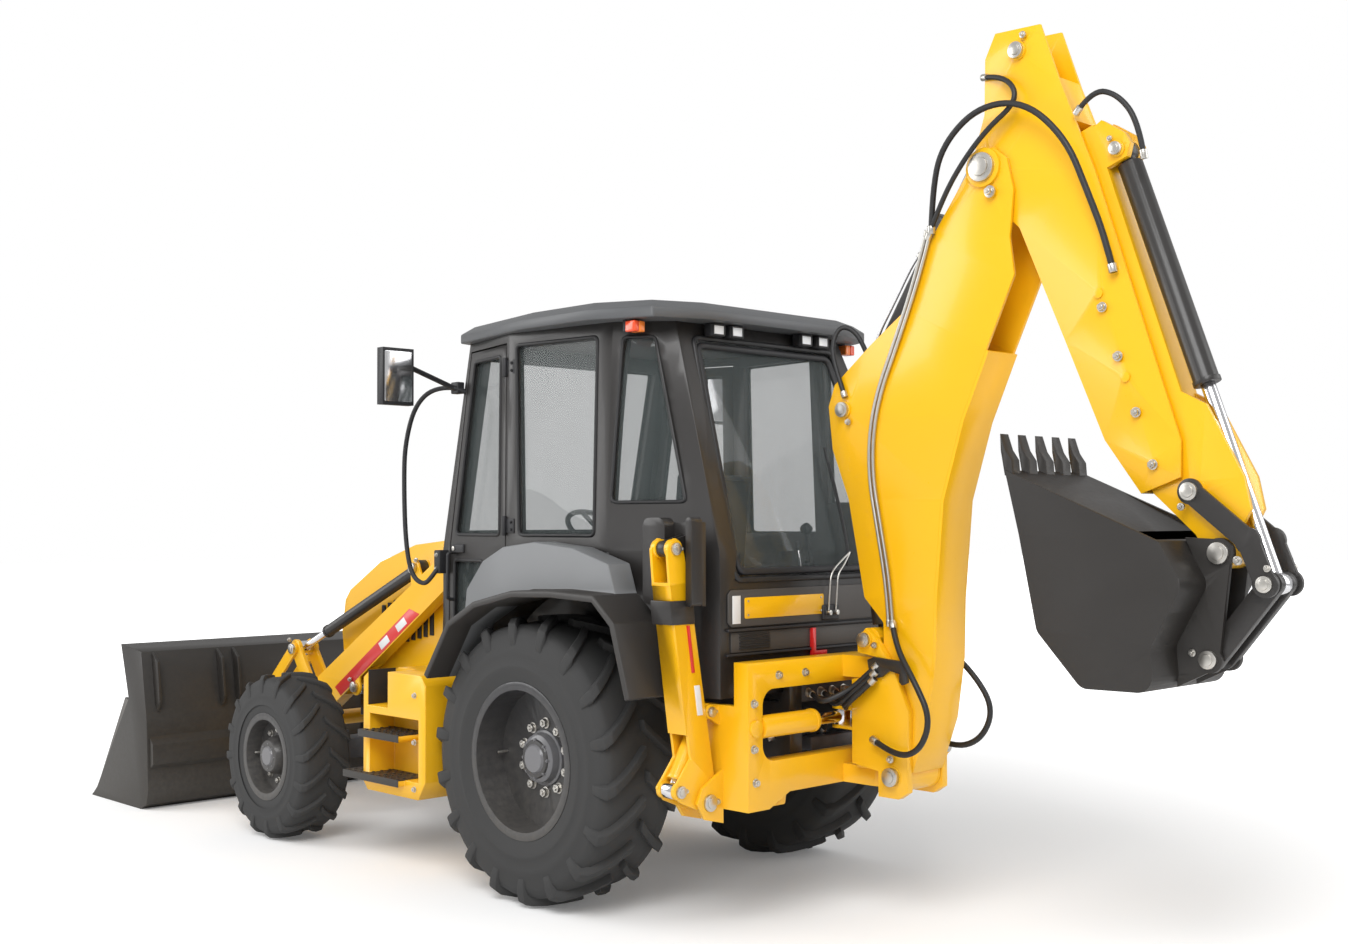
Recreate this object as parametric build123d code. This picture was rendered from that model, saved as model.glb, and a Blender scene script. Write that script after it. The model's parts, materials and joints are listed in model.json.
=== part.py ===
from build123d import *
import os
from math import atan2, cos, degrees, hypot, pi, radians, sin

# Backhoe loader, millimetres.  +X forward (loader bucket), +Y left, +Z up.  The origin lies on the ground
# under the middle of the machine's length.  Outlines are (x, z) pairs, and stations along the machine are
# counted from the rear axle, XR.

# ---------------------------------------------------------------- running clearances
FIT = 0.4          # beside an eye between its ears, and at a shaft's end
CLEAR = 8.0        # between pieces that pass each other
SEAT = 0.3         # where a fixed piece rests on another

# ---------------------------------------------------------------- wheels and axles
XR = -535.0        # rear axle station
WHEELBASE = 2175.0
XF = XR + WHEELBASE
# tyre radius, section width, bead radius, bead half width, middle plane, lugs a side, lug height, lug width
REAR = dict(r=660.0, w=440.0, bead=335.0, half=190.0, y=785.0, lugs=18, lug_h=34.0, lug_w=50.0, disc=40.0)
FRONT = dict(r=455.0, w=310.0, bead=215.0, half=135.0, y=915.0, lugs=16, lug_h=22.0, lug_w=36.0, disc=55.0)
FACETS = 24        # flats round a tyre's carcass
LUG_LEAN = 38.0    # degrees between a lug and the axle
FLANGE = 26.0      # rim flange height above the bead
HUB_R = 95.0       # axle end
ZR = REAR["r"]     # rear axle height
ZF = FRONT["r"]    # front axle height
KINGPIN_Y = 690.0
KINGPIN_R = 38.0
AXLE_PIVOT_Z = ZF + 30.0
AXLE_PIVOT_R = 45.0

# ---------------------------------------------------------------- chassis
RAIL_IN, RAIL_OUT = 260.0, 340.0
RAIL_LOW, RAIL_HIGH = 790.0, 960.0
RAIL_FRONT_LOW, RAIL_FRONT_HIGH = 610.0, 800.0
X_NOSE = XF + 155.0
HOOD_HINGE = (X_NOSE, 850.0)
HOOD_HALF = 362.0
HOOD_HINGE_Y = 300.0
SWING_X = XR - 1325.0
FRAME_BACK = SWING_X + 165.0       # rear face of the rear frame
FRAME_FRONT = FRAME_BACK + 80.0
FRAME_SIDE_OUT, FRAME_SIDE_IN, FRAME_POST_IN = 690.0, 640.0, 600.0
BEAM_LOW = (600.0, 740.0)
BEAM_HIGH = (1045.0, 1160.0)
SWING_BOSS_R = 75.0

# ---------------------------------------------------------------- cab
CAB_FLOOR = 1000.0
CAB_WALL = 45.0
SILL = 1620.0
CANT = 2660.0
# plan corners of the cab on its left side: x at the sill, y at the sill, x at the cant rail, y at the cant rail
CAB_CORNERS = [
    (XR + 990, 700, XR + 770, 690),
    (XR + 300, 820, XR + 280, 820),
    (XR - 380, 790, XR - 380, 745),
    (XR - 1010, 700, XR - 600, 560),
]
ARCH_R = 790.0
ARCH_IN = 530.0
GLASS_IN, GLASS_T = 20.0, 6.0

# ---------------------------------------------------------------- loader
ARM_Y, ARM_T = 450.0, 80.0
ARM_PIVOT = (XR + 1160, 1560)
ARM_KNEE = (XR + 2490, 745)
LOADER_PIN = (XR + 3335, 280)
BUCKET_W = 2300.0
BUCKET_TIP = XR + 4225
EAR = 20.0         # thickness of a hinge ear
EYE_W = 58.0       # width of a cylinder's eye on the loader
LIFT_BASE = (XR + 1010, 640)
LIFT_ROD = (XR + 2150, 800)
TILT_BASE = (XR + 1560, 1500)
LEVER_PIVOT = (XR + 2570, 700)
LEVER_TOP = (XR + 2790, 985)
TILT_LINK = (XR + 3362, 466)
LINK_T, LINK_HALF = 18.0, 36.0
RAM_LOADER = dict(r=35.0, bore=29.0, rod=22.0, eye=44.0)
LIFT_LENGTH, TILT_LENGTH = 1070.0, 1020.0   # base pin to gland

# ---------------------------------------------------------------- backhoe
FOOT = (SWING_X - 160, 665)
BOOM_CYL_BASE = (SWING_X - 20, 1240)
HUMP = (XR - 1205, 2246)           # base pin of the dipper's cylinder
DIPPER_PIVOT = (XR - 1953, 3200)
DIPPER_LEAN = 18.4                  # degrees between the dipper and the vertical
DIPPER_TOP = (-382.0, 289.0)        # dipper places are (along, out) from its pivot
BUCKET_CYL_BASE = (200.0, 545.0)
LINK_PIN = (1550.0, 410.0)
BUCKET_PIN = (1795.0, 434.0)
IDLER_END = (1954.0, 570.0)
BUCKET_LINK = (2149.0, 269.0)
EXTENSION = 1100.0
BOOM_HALF, BOOM_PLATE = 105.0, 14.0
DIPPER_HALF, DIPPER_PLATE = 84.0, 12.0
SLIDE_HALF = 62.0
HOE_W = 560.0
HOE_PLATE = 18.0
BELLY_R = 60.0                      # bends of the digging bucket
FORK_OUT = 56.0                     # outer face of the boom cylinder's forked rod end
TEETH = 5
HOE_EYE = 58.0
IDLER_Y = (90.0, 106.0)             # faces of an idler link
FORK_ROOT = 150.0                   # fork's root from its eye on the boom cylinder's rod
NOSE_R = 58.0                       # round of the dipper's nose about the bucket's pin
TOWER_EAR = 35.0
SWING_ARM = 190.0                   # swing cylinders ahead of the swing axis
SWING_PIN_Y = 50.0                  # swing rod's pin from the middle
SWING_STROKE = 150.0                # each way
SWING_Z = 885.0
RAM_SWING = dict(r=48.0, bore=38.0, rod=26.0, eye=42.0, start=252.0)
LUG_REACH, LUG_T = 45.0, 14.0       # round the swing pins, and thickness
SWING_TURN = 90.0
BOOM_TURN, DIPPER_TURN, HOE_TURN = (0.0, 85.0), (-5.0, 105.0), (-5.0, 140.0)
RAM_HOE = dict(r=52.0, bore=44.0, rod=28.0, eye=48.0)
RAM_BUCKET = dict(r=48.0, bore=39.0, rod=27.0, eye=42.0)

# ---------------------------------------------------------------- stabilisers
LEG_X = SWING_X + 385.0             # middle plane of a leg
LEG_W = 110.0
LEG_TURN, PAD_TURN = 110.0, 160.0
LEG_PIVOT = (772.0, 575.0)          # (y, z) on the left side
LEG_TOP = (925.0, 1500.0)
PAD_PIN = (948.0, 1640.0)
LEG_RAM_BASE = (740.0, 950.0)
LEG_RAM_PIN = (922.0, 635.0)
PAD_EYE = 27.0
PAD_X = (-100.0, 200.0)              # ends of a pad from the leg's middle plane
RAM_LEG = dict(r=36.0, bore=29.0, rod=20.0, eye=34.0)


# ================================================================ shapes
def outline(points, rounding=0.0):
    """Face inside a closed outline, its corners rounded."""
    if rounding:
        return make_face(FilletPolyline(*points, radius=rounding, close=True))
    return make_face(Polyline(*points, close=True))


def plate(points, y0, y1, rounding=0.0):
    """Flat piece with an (x, z) outline, from y0 to y1."""
    return prism_y(outline(points, rounding), y0, y1)


def prism_y(face, y0, y1):
    """Prism along Y on an (x, z) face."""
    plane = Plane(origin=(0, y1, 0), x_dir=(1, 0, 0), z_dir=(0, -1, 0))
    return extrude(plane * face, y1 - y0)


def plate_x(points, x0, x1, rounding=0.0):
    """Flat piece with a (y, z) outline, from x0 to x1."""
    plane = Plane(origin=(x0, 0, 0), x_dir=(0, 1, 0), z_dir=(1, 0, 0))
    return extrude(plane * outline(points, rounding), x1 - x0)


def plate_z(points, z0, z1):
    """Flat piece with an (x, y) outline, from z0 to z1."""
    return extrude(Plane.XY.offset(z0) * make_face(Polyline(*points, close=True)), z1 - z0)


def block(x0, x1, y0, y1, z0, z1):
    """Box between two corners."""
    return Pos((x0 + x1) / 2, (y0 + y1) / 2, (z0 + z1) / 2) * Box(abs(x1 - x0), abs(y1 - y0), abs(z1 - z0))


def round_y(at, r, y0, y1):
    """Cylinder along Y at (x, z)."""
    return Pos(at[0], (y0 + y1) / 2, at[1]) * Rot(90, 0, 0) * Cylinder(r, abs(y1 - y0))


def round_z(x, y, r, z0, z1):
    """Cylinder along Z."""
    return Pos(x, y, (z0 + z1) / 2) * Cylinder(r, abs(z1 - z0))


def bar(a, b, r):
    """Round bar between two points in space."""
    a, b = Vector(*a), Vector(*b)
    return Plane(origin=(a + b) * 0.5, z_dir=(b - a)) * Cylinder(r, (b - a).length)


def both(shape):
    """The piece and its mirror image across the machine's middle plane."""
    return shape + mirror(shape, Plane.XZ)


def toward(a, b, d):
    """(x, z) point at distance d from a on the way to b."""
    k = d / hypot(b[0] - a[0], b[1] - a[1])
    return (a[0] + (b[0] - a[0]) * k, a[1] + (b[1] - a[1]) * k)


def across(a, b, d):
    """Offset of length d, square to the line from a to b, to its left."""
    n = hypot(b[0] - a[0], b[1] - a[1])
    return (-(b[1] - a[1]) / n * d, (b[0] - a[0]) / n * d)


def strip(points, d):
    """Closed outline of an open line thickened by d to its right, with mitred corners."""
    side = []
    for i, p in enumerate(points):
        a, b = points[max(i - 1, 0)], points[min(i + 1, len(points) - 1)]
        u = across(a, p, -1) if i else across(p, b, -1)
        v = across(p, b, -1) if i < len(points) - 1 else u
        k = d / (1 + u[0] * v[0] + u[1] * v[1])
        side.append((p[0] + (u[0] + v[0]) * k, p[1] + (u[1] + v[1]) * k))
    return list(points) + side[::-1]


def joined(pieces):
    """All pieces of a list in one shape."""
    shape = None
    for piece in pieces:
        shape = piece if shape is None else shape + piece
    return shape


def link(a, b, half, y0, y1, end=None):
    """Straight link with rounded ends between two pins."""
    u = across(a, b, half)
    body = plate([(a[0] + u[0], a[1] + u[1]), (b[0] + u[0], b[1] + u[1]), (b[0] - u[0], b[1] - u[1]),
                  (a[0] - u[0], a[1] - u[1])], y0, y1)
    return body + round_y(a, end or half, y0, y1) + round_y(b, end or half, y0, y1)


def barrel(a, b, y, length, r, bore, rod, eye, width):
    """Cylinder barrel with its base eye at a, aimed at b, bored for its rod."""
    at = lambda d: (*toward(a, b, d)[:1], y, toward(a, b, d)[1])
    tube = bar(at(eye + 14), at(length), r) - bar(at(eye + 30), at(length - 30), bore)
    tube += bar(at(eye * 0.5), at(eye + 15), min(width / 2 - 1, r))
    tube -= bar(at(length - 31), at(length + 1), rod + FIT)
    gland = bar(at(length), at(length + 18), r + 4) - bar(at(length - 1), at(length + 19), rod + FIT)
    return tube + gland + round_y(a, eye, y - width / 2, y + width / 2)


def piston_rod(a, b, y, start, r, eye, width):
    """Piston rod with its eye at b and its inner end at distance start from a."""
    s, e = toward(a, b, start), toward(b, a, eye * 0.5)
    return bar((s[0], y, s[1]), (e[0], y, e[1]), r) + round_y(b, eye, y - width / 2, y + width / 2)


def ears(at, r, y, gap, thick, root=None):
    """Pair of round hinge ears about an eye, with pin heads outside them."""
    h = gap / 2 + FIT
    shape = None
    for s in (1, -1):
        piece = round_y(at, r, y + s * h, y + s * (h + thick))
        piece += round_y(at, r * 0.5, y + s * (h + thick), y + s * (h + thick + 8))
        if root:
            piece += plate(root, min(y + s * h, y + s * (h + thick)), max(y + s * h, y + s * (h + thick)))
        shape = piece if shape is None else shape + piece
    return shape


def on_dipper(p):
    """(x, z) of a place given along and out from the dipper's pivot."""
    a = radians(DIPPER_LEAN)
    s, t = p
    return (DIPPER_PIVOT[0] - s * sin(a) - t * cos(a), DIPPER_PIVOT[1] - s * cos(a) + t * sin(a))


# ================================================================ wheels
def polygon_ring(profile, sides, y_axis_at):
    """Solid through regular polygons that stand along Y, from (apothem, y) stations."""
    sections = []
    for apothem, y in profile:
        plane = Plane(origin=(0, y, 0), x_dir=(1, 0, 0), z_dir=(0, 1, 0))
        sections.append(plane * RegularPolygon(apothem, sides, major_radius=False, rotation=y_axis_at))
    return loft(sections, ruled=True)


def tyre(k, x, z):
    """Flat-sided carcass with bar lugs, its lowest lug corner on the ground."""
    r, w, half = k["r"] - k["lug_h"], k["w"] / 2, k["half"]
    side = [(k["bead"] + FLANGE + 4, half), (r * 0.80, w - 4), (r * 0.955, w * 0.88), (r, w * 0.5)]
    shape = polygon_ring([(a, -y) for a, y in side] + [(a, y) for a, y in reversed(side)], FACETS, 0)
    shape -= polygon_ring([(k["bead"] + SEAT, -half - 1), (k["bead"] + SEAT, half + 1)], FACETS, 0)
    lean = radians(LUG_LEAN)
    length = 2 * (w * 0.49 - k["lug_w"] / 2 * sin(lean)) / cos(lean)
    corner = (k["lug_w"] * cos(lean) + length * sin(lean)) / 2
    top = (k["r"] ** 2 - corner ** 2) ** 0.5
    depth = k["lug_h"] + 75
    step = 360 / k["lugs"]
    lugs = []
    for i in range(k["lugs"]):
        for s in (1, -1):
            lug = Pos(0, s * w * 0.5, top - depth / 2) * Rot(0, 0, LUG_LEAN * s) * Box(k["lug_w"], length, depth)
            lugs.append(Rot(0, (i + (0.5 if s > 0 else 0)) * step, 0) * lug)
    shape = shape.fuse(*lugs)
    to_ground = 180 + degrees(atan2(corner, top))
    return Pos(x, k["y"], z) * Rot(0, to_ground, 0) * shape


def rim(k, x, z):
    """Rim with its disc and hub cap, seated in the tyre's beads."""
    b, h, d = k["bead"], k["half"], k["disc"]
    t = 12.0
    outline = [(b, -h), (b + FLANGE, -h), (b + FLANGE, -h - 10), (b - t, -h - 10), (b - t, d - t), (HUB_R + 35, d - t),
               (HUB_R + 35, d - 30), (0, d - 30), (0, d + 70), (HUB_R * 0.9, d + 70), (HUB_R + 10, d + 30),
               (HUB_R + 14, d), (b - t, d), (b - t, h + 10), (b + FLANGE, h + 10), (b + FLANGE, h), (b, h)]
    return Pos(x, k["y"], z) * revolve(make_face(Polyline(*outline, close=True)), Axis.Y)


def disc_face(k):
    """Inner face of a wheel's disc, from the middle plane of the machine."""
    return k["y"] + k["disc"] - 30


# ================================================================ chassis
def main_frame():
    rear_low = BEAM_LOW[1] - 40
    side = [(FRAME_FRONT, BEAM_HIGH[0] + 55), (FRAME_FRONT, rear_low), (FRAME_FRONT + 150, rear_low),
            (FRAME_FRONT + 260, RAIL_LOW), (XR + 250, RAIL_LOW), (XR + 430, RAIL_FRONT_LOW), (X_NOSE, RAIL_FRONT_LOW),
            (X_NOSE, RAIL_FRONT_HIGH), (XR + 900, RAIL_FRONT_HIGH), (XR + 700, RAIL_HIGH),
            (FRAME_FRONT + 60, RAIL_HIGH)]
    shape = both(plate(side, RAIL_IN, RAIL_OUT))
    shape += block(X_NOSE - 80, X_NOSE, -RAIL_IN, RAIL_IN, RAIL_FRONT_LOW, RAIL_FRONT_HIGH)
    shape += block(XR + 980, XR + 1080, -RAIL_OUT, RAIL_OUT, RAIL_FRONT_LOW - 45, RAIL_FRONT_LOW)
    for s in (1, -1):                                   # brackets of the front axle's pivot
        x = XF + s * (70 + FIT)
        piece = block(x, x + s * 40, -RAIL_OUT, RAIL_OUT, RAIL_FRONT_LOW - 60, RAIL_FRONT_LOW)
        piece += plate_x([(-120, RAIL_FRONT_LOW - 60), (120, RAIL_FRONT_LOW - 60), (70, AXLE_PIVOT_Z - 50),
                          (-70, AXLE_PIVOT_Z - 50)], min(x, x + s * 40), max(x, x + s * 40))
        shape += piece
    inner, outer = ARM_Y - ARM_T / 2, ARM_Y + ARM_T / 2
    (px, pz), (lx, lz) = ARM_PIVOT, LIFT_BASE
    tower = [(lx - 110, lz - 70), (lx + 55, lz - 70), (px + 120, 800), (px + 80, pz), (px + 40, pz + 85), (px - 40, pz + 85),
             (px - 80, pz), (px - 130, 870), (lx - 110, 870)]
    towers = block(lx - 110, px + 100, RAIL_OUT, inner - FIT - EAR + 1, 700, RAIL_FRONT_HIGH)
    towers += block(lx - 110, lx - 75, inner - FIT - 1, outer + FIT + 1, lz - 70, 870)
    for y0, y1 in ((inner - FIT - EAR, inner - FIT), (outer + FIT, outer + FIT + EAR)):
        towers += plate(tower, y0, y1)
    for s in (1, -1):
        y = ARM_Y + s * (EYE_W / 2 + FIT)
        towers += round_y(LIFT_BASE, 42, y, ARM_Y + s * (ARM_T / 2 + FIT + 1))
    y = HOOD_HINGE_Y                                    # hinge lugs of the hood
    towers += block(HOOD_HINGE[0] - 20, HOOD_HINGE[0] + 20, y - 10, y + 10, RAIL_FRONT_HIGH - 1, HOOD_HINGE[1])
    towers += round_y(HOOD_HINGE, 20, y - 10, y + 10)
    shape += both(towers)
    return shape


def rear_frame():
    """Casting behind the cab with a wide window, the swing bosses and the stabilisers' hinges."""
    b, f = FRAME_BACK, FRAME_FRONT
    o, i = FRAME_SIDE_OUT, FRAME_SIDE_IN
    foot = BEAM_LOW[0] - 60
    face = [(o, foot), (o, BEAM_HIGH[1]), (-o, BEAM_HIGH[1]), (-o, foot), (-560, foot), (-430, BEAM_LOW[0]),
            (430, BEAM_LOW[0]), (560, foot)]
    p = FRAME_POST_IN
    window = [(p, BEAM_LOW[1]), (p, BEAM_HIGH[0]), (-p, BEAM_HIGH[0]), (-p, BEAM_LOW[1])]
    shape = plate_x(face, b, f) - plate_x(window, b - 1, f + 1, 70)
    edge = LEG_X + LEG_W / 2 + 40
    side = [(b, foot), (edge, foot), (edge, CAB_FLOOR - 25), (f, CAB_FLOOR - 25), (f, BEAM_HIGH[1]), (b, BEAM_HIGH[1])]
    shape += both(plate(side, i, o))
    eye = plate_x([(430, BEAM_LOW[0] + 5), (440, foot + 5), (540, foot + 5), (560, BEAM_LOW[0] + 5)], b + 20, f - 20, 12)
    shape += both(eye - bar((b, 495, foot + 38), (f, 495, foot + 38), 24))          # tie-down eyes
    shape += both(bar((b - 12, (p + o) / 2, SWING_Z), (b, (p + o) / 2, SWING_Z), 36))  # swing cylinders' base pins
    r = SWING_BOSS_R
    for z0, z1 in ((BEAM_LOW[0], BEAM_LOW[0] + 80), (BEAM_HIGH[0] + 20, BEAM_HIGH[1])):
        shape += block(SWING_X, b, -r, r, z0, z1) + round_z(SWING_X, 0, r, z0, z1)
    y, z = LEG_PIVOT                                    # hinge plates of the stabiliser legs
    hinge = [(o, z - 95), (y + 20, z - 70), (y + 70, z), (y + 40, z + 60), (o, z + 130)]
    ry, rz = LEG_RAM_BASE
    root = [(o, rz - 60), (ry, rz - 30), (ry, rz + 30), (o, rz + 15)]
    for s in (1, -1):
        x = LEG_X + s * (LEG_W / 2 + FIT)
        shape += both(plate_x(hinge, min(x, x + s * EAR), max(x, x + s * EAR)))
        x = LEG_X + s * (RAM_LEG["eye"] - 2 + FIT)
        ear = plate_x(root, min(x, x + s * EAR), max(x, x + s * EAR)) + bar((x, ry, rz), (x + s * EAR, ry, rz), 30)
        shape += both(ear)
    return shape


def drive_train():
    """Engine and gearbox in one block, with its feet on the rails."""
    shape = block(XR + 1350, XR + 2050, -220, 220, 640, 1180)
    shape += block(XR + 150, XR + 1350, -180, 180, RAIL_FRONT_LOW + 2, 800)
    for x in (XR + 1450, XR + 1900):
        shape += block(x, x + 80, -RAIL_IN, RAIL_IN, 680, 730)
    shape += block(XR + 400, XR + 480, -RAIL_IN, RAIL_IN, 690, 740)
    return shape


def rear_axle():
    """Rear axle housing with its pads under the rails."""
    end = disc_face(REAR) - FIT
    shape = round_y((XR, ZR), 105, -420, 420) + round_y((XR, ZR), HUB_R, -end, end)
    shape += Pos(XR, 0, ZR) * Rot(0, 90, 0) * Cylinder(125, 300)
    shape += both(block(XR - 80, XR + 80, RAIL_IN, RAIL_OUT, ZR, RAIL_LOW))
    return shape


def front_axle():
    y = KINGPIN_Y
    beam = [(-y + 60, ZF - 50), (-300, ZF - 65), (300, ZF - 65), (y - 60, ZF - 50), (y - 60, ZF + 50), (120, AXLE_PIVOT_Z + 40),
            (-120, AXLE_PIVOT_Z + 40), (-y + 60, ZF + 50)]
    shape = plate_x(beam, XF - 70, XF + 70)
    yoke = round_z(XF, y, 55, ZF + 70 + FIT, ZF + 105) + round_z(XF, y, 55, ZF - 105, ZF - 70 - FIT)
    yoke += block(XF - 50, XF + 50, y - 140, y, ZF + 70 + FIT, ZF + 105)
    yoke += block(XF - 50, XF + 50, y - 140, y, ZF - 105, ZF - 70 - FIT)
    yoke += block(XF - 50, XF + 50, y - 140, y - 75, ZF - 105, ZF + 105)
    return shape + both(yoke)


def knuckle():
    y = KINGPIN_Y
    shape = round_z(XF, y, 50, ZF - 70, ZF + 70)
    end = disc_face(FRONT) - FIT
    shape += round_y((XF, ZF), 60, y, end)
    shape += block(XF - 130, XF - 30, y + 14, y + 48, ZF - 20, ZF + 20)   # steering arm
    return shape


def tanks():
    """Fuel tank with its steps on the left and its twin on the right."""
    x0, x1, y0, y1 = XR + REAR["r"] + 30, XR + 1240, ARM_Y + ARM_T / 2 + FIT + EAR, 1020
    body = [(x0 + 60, 390), (x1 - 40, 390), (x1, 430), (x1, 960), (x1 - 60, 1000), (x0 + 40, 1000), (x0, 950), (x0, 480)]
    shape = plate(body, y0, y1)
    shape -= block(x0 + 330, x1 - 40, y1 - 170, y1 + 1, 820, 1001)
    shape -= block(x0 + 60, x1 - 60, y1 - 150, y1 + 1, 475, 780)
    for z, reach in ((445, 125), (665, -15)):           # a step's height, and its end past the tank's
        shape += block(x0 + 175, x1 - 59, y1 - 151, y1 + 1, z, z + 30)
        shape += block(x0 + 175, x1 + reach, y1, y1 + 40, z, z + 30)
    return both(shape)


# ================================================================ cab
def cab_ring(inset, low):
    """Corners of the cab's plan, moved in by inset, at the sill (low) or the cant rail."""
    c = [(a, b) if low else (d, e) for a, b, d, e in CAB_CORNERS]
    ring = c + [(x, -y) for x, y in reversed(c)]
    face = make_face(Polyline(*ring, close=True))
    return offset(face, -inset, kind=Kind.INTERSECTION) if inset else face


def cab_volume(inset, drop, rise, arch):
    """Cab's outer form moved in by inset, with the wheel arches left out."""
    low, high = cab_ring(inset, True), cab_ring(inset, False)
    shape = extrude(Plane.XY.offset(CAB_FLOOR + drop) * low, SILL - CAB_FLOOR - drop)
    shape += loft([Plane.XY.offset(SILL) * low, Plane.XY.offset(CANT - rise) * high], ruled=True)
    return shape - both(round_y((XR, ZR), ARCH_R + arch, ARCH_IN - arch, 1300))


def window_cuts():
    """Prisms of the windows: name, then the solid that cuts it, left side or middle."""
    x = XR
    side = [(x + 215, 1690), (x + 235, 2600), (x - 290, 2600), (x - 300, 1690)]
    quarter = [(x - 400, 1840), (x - 420, 2590), (x - 540, 2590), (x - 800, 1840)]
    return {
        "front": block(x + 500, x + 1100, -580, 580, 1700, 2590),
        "rear": plate_x([(-610, 1500), (610, 1500), (480, 2590), (-480, 2590)], x - 1200, x - 500),
        "side": both(plate(side, 600, 1000)),
        "quarter": both(plate(quarter, 480, 1000)),
    }


DOOR = [(XR + 925, 1055), (XR + 905, 1640), (XR + 745, 2610), (XR + 320, 2610), (XR + 320, 1611), (XR + 455, 1574),
        (XR + 528, 1478), (XR + 568, 1374), (XR + 690, 1055)]
DOOR_EDGE = [(1050, XR + 926, 712), (1640, XR + 905, 716), (2615, XR + 744, 696)]   # z, x and y of its front edge
DOOR_DEEP = 640.0      # the doors lie further out than this
DOOR_GLASS = [(XR + 850, 1690), (XR + 700, 2560), (XR + 380, 2560), (XR + 380, 1690)]
DOOR_LOW_GLASS = [(XR + 870, 1130), (XR + 860, 1560), (XR + 550, 1562), (XR + 645, 1405), (XR + 740, 1130)]


def grow(points, d):
    """Outline moved out by d."""
    return offset(outline(points), d, kind=Kind.INTERSECTION)


def cab_pieces():
    """Frame, glass, and the left door with its glass."""
    outer = cab_volume(0, 0, 0, 0)
    walls = outer - cab_volume(CAB_WALL, CAB_WALL, -1, CAB_WALL)
    cuts = window_cuts()
    pane = cab_volume(GLASS_IN, -1, -1, -50) - cab_volume(GLASS_IN + GLASS_T, -2, -2, -60)
    door = walls & prism_y(outline(DOOR), DOOR_DEEP, 1000)
    door -= loft([Plane.XY.offset(z) * outline([(x + 2, y), (x + 2, y - 70), (x - 30, y - 70)]) for z, x, y in DOOR_EDGE],
                 ruled=True)
    frame = walls - both(prism_y(grow(DOOR, CLEAR), DOOR_DEEP - CLEAR, 1000))
    glass = None
    for cut in cuts.values():
        frame -= cut
        g = pane & cut
        glass = g if glass is None else glass + g
    door_glass = None
    for points in (DOOR_GLASS, DOOR_LOW_GLASS):
        cut = plate(points, 560, 1000)
        door -= cut
        g = pane & cut
        door_glass = g if door_glass is None else door_glass + g
    for x in (XR + 850, XR - 850):
        frame += both(round_z(x, 300, 38, RAIL_HIGH, CAB_FLOOR))
    return frame, glass, door, door_glass


def cab_roof():
    low = [(XR + 840, 560), (XR + 790, 740), (XR + 100, 880), (XR - 350, 880), (XR - 640, 740), (XR - 740, 480)]
    ring = low + [(x, -y) for x, y in reversed(low)]
    face = make_face(Polyline(*ring, close=True))
    shape = extrude(Plane.XY.offset(CANT) * face, 45)
    top = offset(face, -60, kind=Kind.INTERSECTION)
    shape += loft([Plane.XY.offset(CANT + 45) * face, Plane.XY.offset(CANT + 85) * top], ruled=True)
    return shape


def fenders():
    """Fender with its lip round the wheel and its crown against the cab."""
    lip = [(600, 1020), (415, 1282), (210, 1384), (-75, 1444), (-351, 1452), (-640, 1440), (-770, 1330), (-868, 1020)]
    crown = [(466, 1200), (437, 1432), (310, 1569), (156, 1637), (-75, 1662), (-343, 1638), (-584, 1571), (-622, 1464),
             (-640, 1415), (-351, 1430), (-75, 1420), (210, 1360), (415, 1262)]
    shape = plate([(XR + x, z) for x, z in strip(lip, -30)], 826, 1095)
    shape += plate([(XR + x, z) for x, z in crown], 826, 960)
    pad = block(XR - 400, XR + 100, 780, 827, 1560, 1615) - cab_volume(-SEAT, -SEAT, -SEAT, 0)
    return both(shape + pad)


def seat():
    shape = block(XR - 260, XR + 240, -240, 240, 1330, 1450)
    shape += plate([(XR - 300, 1380), (XR - 180, 1400), (XR - 260, 1980), (XR - 370, 1980)], -230, 230)
    return shape


def seat_base():
    return block(XR - 200, XR + 180, -180, 180, CAB_FLOOR + CAB_WALL, 1330)


def controls():
    """Steering column and wheel, front console and the two backhoe lever towers."""
    x = XR
    shape = plate([(x + 560, CAB_FLOOR + CAB_WALL), (x + 800, CAB_FLOOR + CAB_WALL), (x + 760, 1560), (x + 640, 1600)], -130, 130)
    wheel = Pos(x + 555, 0, 1700) * Rot(0, -35, 0) * Torus(185, 14)
    hub = Pos(x + 555, 0, 1700) * Rot(0, -35, 0) * (Cylinder(40, 30) + Box(360, 26, 12) + Box(26, 360, 12))
    shape += wheel + hub + bar((x + 560, 0, 1690), (x + 680, 0, 1520), 35)
    for y in (-330, 330):
        shape += block(x - 720, x - 560, y - 70, y + 70, CAB_FLOOR + CAB_WALL, 1480)
        shape += bar((x - 640, y, 1475), (x - 600, y, 1700), 10) + Pos(x - 598, y, 1715) * Sphere(28)
    return shape


def mirrors():
    y = 1120
    head = block(XR + 780, XR + 830, y - 90, y + 90, 2330, 2610)
    points = [(XR + 800, 680, 2415), (XR + 845, 745, 2440), (XR + 835, y, 2560), (XR + 805, y, 2540)]
    arm = None
    for a, b in zip(points, points[1:]):
        p = bar(a, b, 13) + Pos(*b) * Sphere(13)
        arm = p if arm is None else arm + p
    return both(head + arm - cab_volume(-SEAT, -SEAT, -SEAT, 0))


def lamps():
    shape = None
    for y in (242, 365):
        p = both(block(XR - 685, XR - 625, y - 45, y + 45, 2600, CANT - SEAT))
        shape = p if shape is None else shape + p
    shape += both(block(XR - 550, XR - 470, 700, 770, 2600, CANT - SEAT))
    shape += both(block(XR + 790, XR + 835, 560, 630, 2600, CANT - SEAT))
    return shape


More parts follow.
